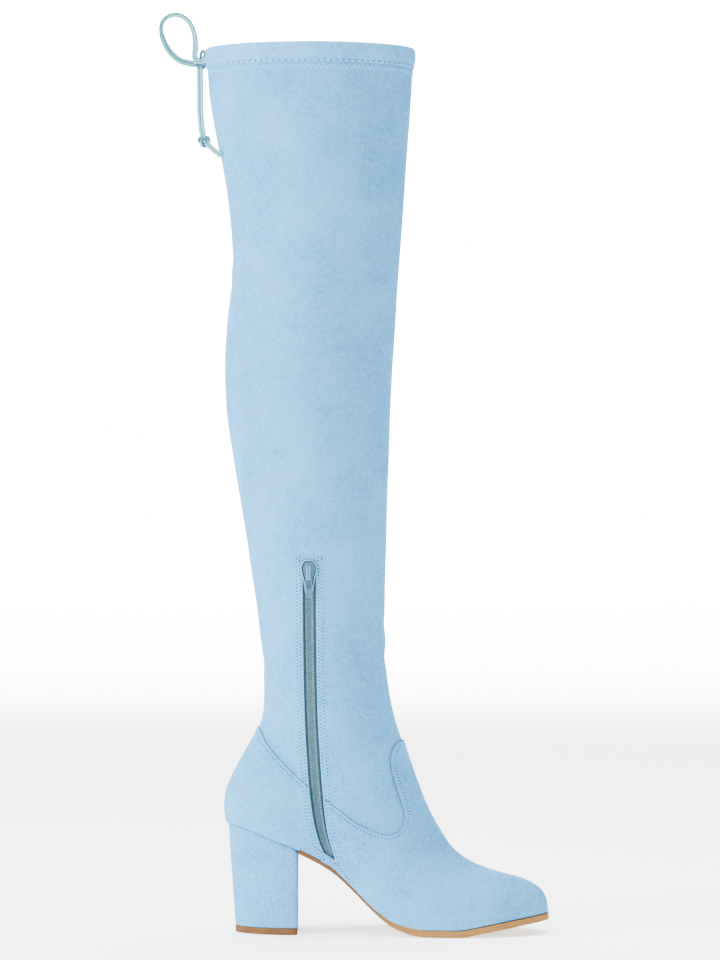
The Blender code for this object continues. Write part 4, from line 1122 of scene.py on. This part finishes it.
soften.width, soften.segments, soften.limit_method = 0.24 * MM, 2, "ANGLE"
# The bevels take the lighter edge finish: polished metal and painted highlight.
soften.material = 1
tab.data.materials.append(zip_metal)
tab.data.materials.append(zip_edge_polish_highlight)
apply_all(tab)
for tool in (eye, dish):
    bpy.data.objects.remove(tool)
onto_zip(tab)
smooth(tab, 35)
settle(tab, zip_metal, "pull")
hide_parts("zip_pull")
print("pull tab faces:", len(tab.data.polygons))

# %% [markdown]
# A stitch is a short bit of thread that dips into the suede at both ends. One is made from a
# sphere, drawn long and thin, and copied along every seam at the seam's own pitch. Between the
# stitches lie flat dark discs: painted shade, for the shade down in the needle holes. Below the
# collar's straight row runs a zigzag, which keeps the edge of the tunnel stretchy.

# %% Stitches
def drawn_ball(rings, size, lying=False):
    """A sphere drawn out to a size. Lying: its poles are at the ends of its length."""
    deselect()
    bpy.ops.mesh.primitive_uv_sphere_add(segments=8, ring_count=rings, radius=0.5)
    item = bpy.context.object
    if lying:
        item.rotation_euler = (0, math.pi / 2, 0)
        bpy.ops.object.transform_apply(rotation=True)
    item.scale = size
    bpy.ops.object.transform_apply(scale=True)
    return item


def stitch(length):
    return drawn_ball(5, (length, 0.74 * MM, 0.56 * MM), lying=True)


def sew(name, rows_and_angles, pitch, length, out):
    """Stitches along lines on the soft surface, with painted shade in the needle holes."""
    spots, ways, marks, hole_shade_ways = [], [], [], []
    for rows, angles in rows_and_angles:
        line = soft(rows, angles, out)
        run = run_of(line)
        for at, places, frames in ((np.arange(pitch / 2, run[-1] - pitch / 2, pitch), spots, ways),
                                   (np.arange(0, run[-1], pitch), marks, hole_shade_ways)):
            place = points_at(at, run, line)
            normal = form_normal(np.interp(at, run, rows), np.interp(at, run, angles))
            places.append(place)
            frames.append(frames_along(place, normal))
    item = copies_along(name, stitch(length), np.concatenate(spots), np.concatenate(ways))
    # A flat near-black disc in each needle hole: painted shade.
    hole_shade_disc = drawn_ball(4, (1.35 * MM, 1.30 * MM, 0.30 * MM))
    holes = copies_along(name + "_marks", hole_shade_disc, np.concatenate(marks), np.concatenate(hole_shade_ways))
    for made, material in ((item, thread), (holes, needle_hole_shade)):
        smooth(made, 60)
        settle(made, material)
    print(name, sum(len(s) for s in spots), "stitches")


def beside_seam(seam, inset):
    """A seam's line in side view, moved by inset to its right-hand side."""
    line = seam_line(seam, 0.0)
    way = unit(np.gradient(line, axis=0))
    return line + inset * np.column_stack((way[:, 1], -way[:, 0]))


def seen_line(x, z, outer=False):
    """Rows and angles for a line in side view, without the parts that miss the form."""
    rows, angles = side_place(x, z, outer)
    places = form(rows, angles)
    hit = np.hypot(places[:, 0] - x, places[:, 2] - z) < 0.4 * MM
    return rows[hit], angles[hit]


ON_PANEL = PANEL_OUT + 0.02 * MM
counter_row = beside_seam(COUNTER_SEAM, -2.3 * MM)
counter_row = counter_row[counter_row[:, 0] < zip_middle(counter_row[:, 1]) - 9.8 * MM]
vamp_row = beside_seam(VAMP_SEAM, 2.4 * MM)
vamp_row = vamp_row[vamp_row[:, 0] > zip_middle(vamp_row[:, 1]) + 9.8 * MM]
sew("stitches_panels", [seen_line(row[:, 0], row[:, 1], outer) for row in (counter_row, vamp_row)
                        for outer in (False, True)], 2.3 * MM, 1.5 * MM, ON_PANEL)

on_shaft, on_panels = [], []
for gap in ZIP_ROWS:
    for sign in (1, -1):
        z = np.linspace(ZIP_TOP + gap * 0.6, ZIP_END - (1.5 if sign < 0 else 3.0) * MM, 400)
        lean = np.sqrt(np.maximum(1 / zip_tilt(z) ** 2 - 1, 0))
        reach = sign * (zip_half(z) + gap) * zip_tilt(z)
        rows, angles = side_place(zip_middle(z) + reach, z + reach * lean)
        places = form(rows, angles)
        higher = places[:, 2] > (SEAM_MEET - 5 * sign) * MM
        on_shaft.append((rows[higher], angles[higher]))
        sole_top = tread(places[:, 0]) + sole_thickness(places[:, 0])
        kept = ~higher & (places[:, 2] > sole_top + 2 * MM)
        on_panels.append((rows[kept], angles[kept]))
    x = zip_middle(ZIP_TOP) + np.linspace(-1, 1, 40) * (zip_half(ZIP_TOP) + gap)
    on_shaft.append(side_place(x, np.full(40, ZIP_TOP + gap)))
to_sole = smooth_route(np.array(((47.5, 57.0), (52.0, 50.5), (56.5, 45.3), (60.5, 41.0))) * MM, 40)
on_panels.append(side_place(to_sole[:, 0], to_sole[:, 1]))
sew("stitches_zip_shaft", on_shaft, 2.6 * MM, 1.7 * MM, 0.05 * MM)
sew("stitches_zip_panels", on_panels, 2.6 * MM, 1.7 * MM, ON_PANEL)

row = TOP - 13.0 * MM / TOP_STEP
around = np.linspace(half_mouth + 0.03, 2 * math.pi - half_mouth - 0.03, 400)
sew("stitches_collar", [(np.full(400, row), around)], 4.6 * MM, 2.8 * MM, 0.92 * MM)
turns = np.arange(around[0] + 0.02, around[-1] - 0.02, 0.025)
ZIGZAG, SWAY = 17.4, 2.2    # millimetres below the rim, and to each side of that
below = (ZIGZAG + SWAY * (-1.0) ** np.arange(len(turns))) * MM
corners = soft(TOP - below / TOP_STEP, turns, 0.10 * MM)
slant = unit(np.diff(corners, axis=0))
middle_row = np.full(len(turns) - 1, TOP - ZIGZAG * MM / TOP_STEP)
across = np.cross(form_normal(middle_row, (turns[1:] + turns[:-1]) / 2), slant)
zigzag = copies_along("stitches_zigzag", stitch(4.2 * MM), (corners[1:] + corners[:-1]) / 2,
                      np.stack((slant, across, np.cross(slant, across)), axis=1))
smooth(zigzag, 60)
settle(zigzag, thread)
print("zigzag stitches:", len(slant))

# %% [markdown]
# The lace is a flat strip of suede, folded double and stitched into a band 4.8 mm wide. It is
# tied in a bow behind the collar. Each free run is one open line of a few given places, close
# to the part's own, and the band is swept along it: a cross section with grooves down its faces.

# %% Lace
LACE_WIDTH, LACE_THICK = 4.8 * MM, 2.0 * MM
# across and outwards, as shares of the width and the thickness, for one half of the band
HALF_BAND = np.array((
    (0.0, 0.34), (0.06, 0.42), (0.16, 0.50), (0.30, 0.50), (0.42, 0.42), (0.50, 0.18),
    (0.50, -0.18), (0.42, -0.42), (0.30, -0.50), (0.16, -0.50), (0.06, -0.42), (0.0, -0.34)))
BAND = np.concatenate((HALF_BAND, HALF_BAND[-2:0:-1] * (-1, 1)))
LOOP_LINE = ((-.0512, -.0020, .6314), (-.0545, -.0031, .6314), (-.0632, -.0075, .6334),
             (-.0703, -.0110, .6394), (-.0750, -.0140, .6482), (-.0763, -.0155, .6562),
             (-.0736, -.0158, .6622), (-.0680, -.0148, .6653), (-.0619, -.0130, .6649),
             (-.0560, -.0108, .6603), (-.0527, -.0085, .6526), (-.0519, -.0064, .6446),
             (-.0524, -.0040, .6374), (-.0520, -.0026, .6345))
END_LINE = ((-.0488, -.00239, .6290), (-.0489, -.0038, .6267), (-.0486, -.0062, .6216),
            (-.0484, -.0074, .6132), (-.0484, -.0083, .6036), (-.0482, -.0090, .5949),
            (-.0475, -.0096, .5871), (-.0470, -.0098, .58184), (-.0464, -.01005, .57924),
            (-.0458, -.0103, .5765))
TIP_LINE = ((-.0442, -.0111, .5733), (-.04256, -.01166, .57184), (-.04017, -.01251, .56959),
            (-.03777, -.01337, .56734), (-.0352, -.0150, .5652), (-.0332, -.0164, .5636))
BOW = np.array((-.0480, 0, .6318))
END_KNOT = np.array((-.0458, -.0105, .5749))


def band_along(name, line, face, steps, width=LACE_WIDTH, thick=LACE_THICK):
    """The lace's band on a line. face: where its broad side looks, one vector or one a point."""
    path = smooth_route(line, steps)
    tangent = unit(np.gradient(path, axis=0))
    face = np.asarray(face, float)
    if face.ndim > 1:
        face = smooth_route(face, steps)
    across = unit(np.cross(tangent, np.broadcast_to(face, path.shape)))
    out = np.cross(across, tangent)
    points = (path[:, None, :] + across[:, None, :] * (BAND[:, :1] * width)
              + out[:, None, :] * (BAND[:, 1:] * thick))
    item = laid_grid(name, points, round_it=True, capped=True)
    item.data.materials.append(lace_suede)
    smooth(item, 60)
    settle(item, lace_suede)
    return item, path


def length_of(path):
    return float(np.linalg.norm(np.diff(path, axis=0), axis=1).sum())


def lace_place(points, sign):
    """The inner side's points, or the outer side's: mirrored, and out of sight behind them."""
    points = np.array(points, float)
    if sign < 0:
        eye = np.array(camera.location)
        depth = points[:, 1:2] - eye[1]
        points = eye + (points - eye) * (depth - 2 * points[:, 1:2]) / depth
    return points


hanging = []
for side, sign in (("inner", 1), ("outer", -1)):
    flip = np.array((1, sign, 1))
    loop, loop_path = band_along("bow_loop_band_" + side, lace_place(LOOP_LINE, sign),
                                 np.array(((0, -1, 0.15), (0.1, -1, 0.2), (0.35, -0.9, 0.3),
                                           (1, -0.4, 0), (0.5, -0.35, -0.9), (-0.3, -0.45, -0.9),
                                           (-0.8, -0.65, -0.4), (-0.7, -0.9, -0.2),
                                           (-0.5, -1, 0))) * flip, 72)
    end, end_path = band_along("lace_end_band_" + side, lace_place(END_LINE, sign),
                               np.array((-0.12, -1, 0.0)) * flip, 40)
    tip, _ = band_along("lace_tip_band_" + side, lace_place(TIP_LINE, sign),
                        np.array((0.2, -1, -0.1)) * flip, 14, width=4.2 * MM)
    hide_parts("bow_loop_" + side)
    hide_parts("lace_end_" + side)
    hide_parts("lace_tip_" + side)
    hanging.append((end, end_path, tip))
    print(side, "loop", round(length_of(loop_path), 4), "end", round(length_of(end_path), 4))

# %% [markdown]
# Knots are where a lace looks most like a lace. The bow's knot is one turn of the band round the
# crossing, with a smaller turn leaning against each side. Each end is an overhand knot, whose
# rope runs on the same curve as a clover leaf, pulled tight.

# %% Knots
def turn_of_band(name, centre, axis, start_way, radius, width, thick, squeeze=1.0):
    """One closed turn of the band round an axis through the centre, from start_way on."""
    axis = unit(np.array(axis, float))
    start_way = np.array(start_way, float)
    first = unit(start_way - axis * (start_way @ axis))
    second = np.cross(axis, first) * squeeze
    angle = np.linspace(0, 2 * math.pi, 40, endpoint=False)
    out = np.cos(angle)[:, None] * first + np.sin(angle)[:, None] * second
    path = np.asarray(centre) + radius * out
    points = (path[:, None, :] + BAND[:, :1] * width * axis
              + BAND[:, 1:] * thick * unit(out)[:, None, :])
    points = np.concatenate((points, points[:1]), axis=0)
    return laid_grid(name, points, round_it=True)


parts = [turn_of_band("turn", BOW + (0.0002, 0, 0), (0.15, 1, 0), (1, 0, 0), 3.3 * MM, 4.2 * MM,
                      1.7 * MM, 1.08)]
deselect()
bpy.ops.mesh.primitive_uv_sphere_add(segments=20, ring_count=12, radius=3.1 * MM, location=BOW)
bpy.ops.object.transform_apply(location=True)
parts.append(bpy.context.object)
for sign in (1, -1):
    parts.append(turn_of_band("lobe", BOW + np.array((0.0001, -sign * 2.7 * MM, 0)),
                              (0.35, 1, 0.45 * sign), (0, 0, 1), 2.5 * MM, 3.2 * MM, 1.6 * MM))
knot = merge_into(*parts)
knot.name = "bow_knot_turns"
knot.data.materials.append(lace_suede)
smooth(knot, 60)
settle(knot, lace_suede)
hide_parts("bow_knot")

for side, sign in (("inner", 1), ("outer", -1)):
    t = np.linspace(0, 2 * math.pi, 90, endpoint=False)
    clover = np.column_stack((np.sin(t) + 2 * np.sin(2 * t), np.cos(t) - 2 * np.cos(2 * t),
                              -1.35 * np.sin(3 * t)))
    clover = clover[:, (0, 2, 1)] * np.array((1.06, 0.78 * sign, 1.0)) * 1.30 * MM
    centre = lace_place([END_KNOT + np.array((0.0004, 0, -0.0006))], sign)[0]
    path = np.vstack((clover, clover[:1])) + centre
    way = np.gradient(path, axis=0)
    way[0] = way[-1] = way[0] + way[-1]
    way = unit(way)
    out = path - centre
    out = unit(out - (out * way).sum(axis=1, keepdims=True) * way)
    points = (path[:, None, :] + BAND[:, :1] * 3.3 * MM * np.cross(way, out)[:, None, :]
              + BAND[:, 1:] * 2.0 * MM * out[:, None, :])
    ball = laid_grid("end_knot_turns_" + side, points, round_it=True)
    ball.data.materials.append(lace_suede)
    smooth(ball, 60)
    settle(ball, lace_suede)
    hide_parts("end_knot_" + side)
    end, end_path, tip = hanging.pop(0)
print("knots made")

# %% [markdown]
# Two short stretches of the band join the knot to the mouths of the tunnel, two thinner ones lie
# over the knot's sides, and a small curl of it stands up beside the knot on the inner side, where
# the bow was pulled tight.

# %% Band at the tunnel, and the curl
for side, sign in (("inner", 1), ("outer", -1)):
    band_along("lace_at_mouth_" + side, np.array((
        (-.0425, -.0098, .6336), (-.0449, -.0072, .6334), (-.0466, -.0045, .6328),
        (-.0478, -.0015, .6322))) * (1, sign, 1), (-1, -0.5 * sign, 0), 16)
for side, sign in (("inner", 1), ("outer", -1)):
    band_along("lace_over_knot_" + side, np.array((
        (-.0530, -.0034, .6324), (-.0508, -.0048, .6326), (-.0482, -.0054, .6324),
        (-.0458, -.0050, .6319), (-.0440, -.0036, .6314))) * (1, sign, 1), (0, -1 * sign, 0.25), 16,
               width=3.6 * MM, thick=1.4 * MM)
band_along("lace_curl", np.array((
    (-.0482, -.0020, .6318), (-.0484, -.0036, .6350), (-.0478, -.0046, .6384),
    (-.0462, -.0052, .6404), (-.0450, -.0056, .6392), (-.0452, -.0056, .6370),
    (-.0466, -.0048, .6350))), np.array((
        (-1, 0, 0.2), (-1, 0, 0.5), (-0.3, 0, 1), (0.6, 0, 1), (1, 0, 0), (0.7, 0, -0.7))), 30,
           width=3.4 * MM)
print("short bands made")

# %% [markdown]
# The block heel is a wooden core covered in suede. From above it is a D: round at the back,
# flat at the breast, with soft corners. Rings of that D go down from the seat, each a little
# smaller, and the last one turns in, where the suede is tucked under before the lift goes on.

# %% Heel
BREAST = 22.54 * MM                          # x of the heel's flat front at the seat
LIFT = 5.0 * MM
FOOT_DEPTH, FOOT_HALF = 45.5 * MM, 26 * MM    # at the foot, from front to back and half across


def seat_half(x):
    share = np.clip((x - sections[0][0]) / (sections[0][2] - sections[0][0]), 0, 1)
    half = (station_weights(share) * sections[0][6:]).sum(axis=-1)
    return half * 2 * np.sqrt(share * (1 - share))


def heel_outline(level, steps=40, corner=2.2 * MM):
    """Half outline of the heel from the back point to the middle of its breast: x and half width.
    """
    ease = 1 - np.cos(np.linspace(0, math.pi / 2, steps))
    start = sections[0][0]
    seat_x = start + 0.5 * MM + ease * (BREAST - start - 0.5 * MM)
    half = seat_half(start + ease * (BREAST - start))
    half = half - 0.5 * MM * np.sqrt(np.clip(half / (20 * MM), 0, 1))
    x = seat_x + level * (BREAST - FOOT_DEPTH + ease * FOOT_DEPTH - seat_x)
    half = half + level * (half * FOOT_HALF / half.max() - half)
    keep = x < BREAST - corner
    bend = np.linspace(0, math.pi / 2, 7)
    edge = np.interp(BREAST - corner, x, half)
    x = np.concatenate((x[keep], BREAST - corner + corner * np.sin(bend), np.full(8, BREAST)))
    half = np.concatenate((half[keep], edge - corner + corner * np.cos(bend),
                           np.linspace(edge - corner, 0, 9)[1:]))
    return x, half


def heel_ring(level, inset=0.0, height=None):
    x, half = heel_outline(level)
    shrink = 1 - inset / (24 * MM)
    x = x.mean() + (x - x.mean()) * shrink
    half = half * shrink
    middle = (1 - level) * swing(x)
    seat = tread(x) + sole_thickness(x) - 0.1 * MM
    z = seat + level * (LIFT + 0.15 * MM - seat) if height is None else np.full(len(x), height)
    near, far = (np.column_stack((x, middle + side * half, z)) for side in (1, -1))
    return np.vstack((near, far[-2:0:-1]))


# how far down, and how far the ring is drawn in
LEVELS = [(0.0, 1.3 * MM), (0.006, 0.5 * MM), (0.014, 0.1 * MM),
          *[(k / 26, 0.0) for k in range(1, 26)], (0.985, 0.0), (0.994, 0.15 * MM), (1.0, 0.5 * MM)]
heel = laid_grid("heel_cover", [heel_ring(*level) for level in LEVELS], round_it=True, capped=True)
smooth(heel, 50)
settle(heel, suede)
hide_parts("heel_block")
LIFT_RINGS = np.array((
    # drawn in, height
    (0.9, 0.0), (0.25, 0.0), (0.05, 0.2), (0.0, 0.6), (0.0, 4.4), (0.1, 4.8), (0.5, 4.98))) * MM
lift = laid_grid("top_lift_rubber", [heel_ring(1.0, *ring) for ring in LIFT_RINGS], round_it=True,
                 capped=True)
smooth(lift, 40)
settle(lift, lift_rubber)
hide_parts("top_lift")
print("heel faces:", len(heel.data.polygons), "lift faces:", len(lift.data.polygons))

# %% [markdown]
# The outsole is a sheet of leather, thin at the waist and thicker under the ball. A grid is laid
# on its tread, drawn up by Solidify with a weight for each point, and its edge is bevelled. At
# the waist it is a little thicker than the CAD's, as the photograph shows it.

# %% Outsole
WELT = 1.9 * MM           # how far the edge stands out
FULL = 5 * MM             # thickness where the weight is 1
start, toe = sections[0][0], sections[0][2]
ease = (1 - np.cos(np.linspace(0, math.pi, 141))) / 2
x_in = BREAST + 0.3 * MM + (toe - BREAST - 0.3 * MM) * ease
half = seat_half(x_in)
half = half + WELT * np.sqrt(np.clip(half / (20 * MM), 0, 1))
x_out = x_in + WELT * ((x_in - start) / (toe - start)) ** 4
side = np.sin(np.linspace(-math.pi / 2, math.pi / 2, 25))
ground = np.broadcast_arrays(x_out[:, None], swing(x_in)[:, None] + half[:, None] * side,
                             tread(x_in)[:, None])
outsole = laid_grid("outsole_leather", np.stack(ground, axis=-1))
thick = outsole.vertex_groups.new(name="thickness")
for vertex in outsole.data.vertices:
    if vertex.co.x > toe:
        vertex.co.x = min(vertex.co.x, toe + WELT)
    depth = float(sole_thickness(np.array(min(vertex.co.x, toe)))) - 0.3 * MM
    depth += float(np.interp(vertex.co.x, (0.11, 0.14), (1.0 * MM, 0)))
    thick.add([vertex.index], depth / FULL, "REPLACE")
up = outsole.data.polygons[len(outsole.data.polygons) // 2].normal.z > 0
wall = outsole.modifiers.new("thickness", "SOLIDIFY")
wall.thickness, wall.offset, wall.vertex_group = FULL, 1.0 if up else -1.0, "thickness"
edge = outsole.modifiers.new("edge", "BEVEL")
edge.width, edge.segments = 0.7 * MM, 3
edge.limit_method, edge.angle_limit = "ANGLE", math.radians(50)
apply_all(outsole)
smooth(outsole, 40)
settle(outsole, sole_leather)
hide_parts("outsole")
print("outsole faces:", len(outsole.data.polygons))

# %% [markdown]
# The insole keeps its CAD solid, which nobody sees but from above. It only needs its finish.

# %% Insole
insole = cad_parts["insole"]
insole.data.materials.clear()
insole.data.materials.append(lining)
print("insole keeps", len(insole.data.polygons), "faces")

# %% [markdown] End

print("done")
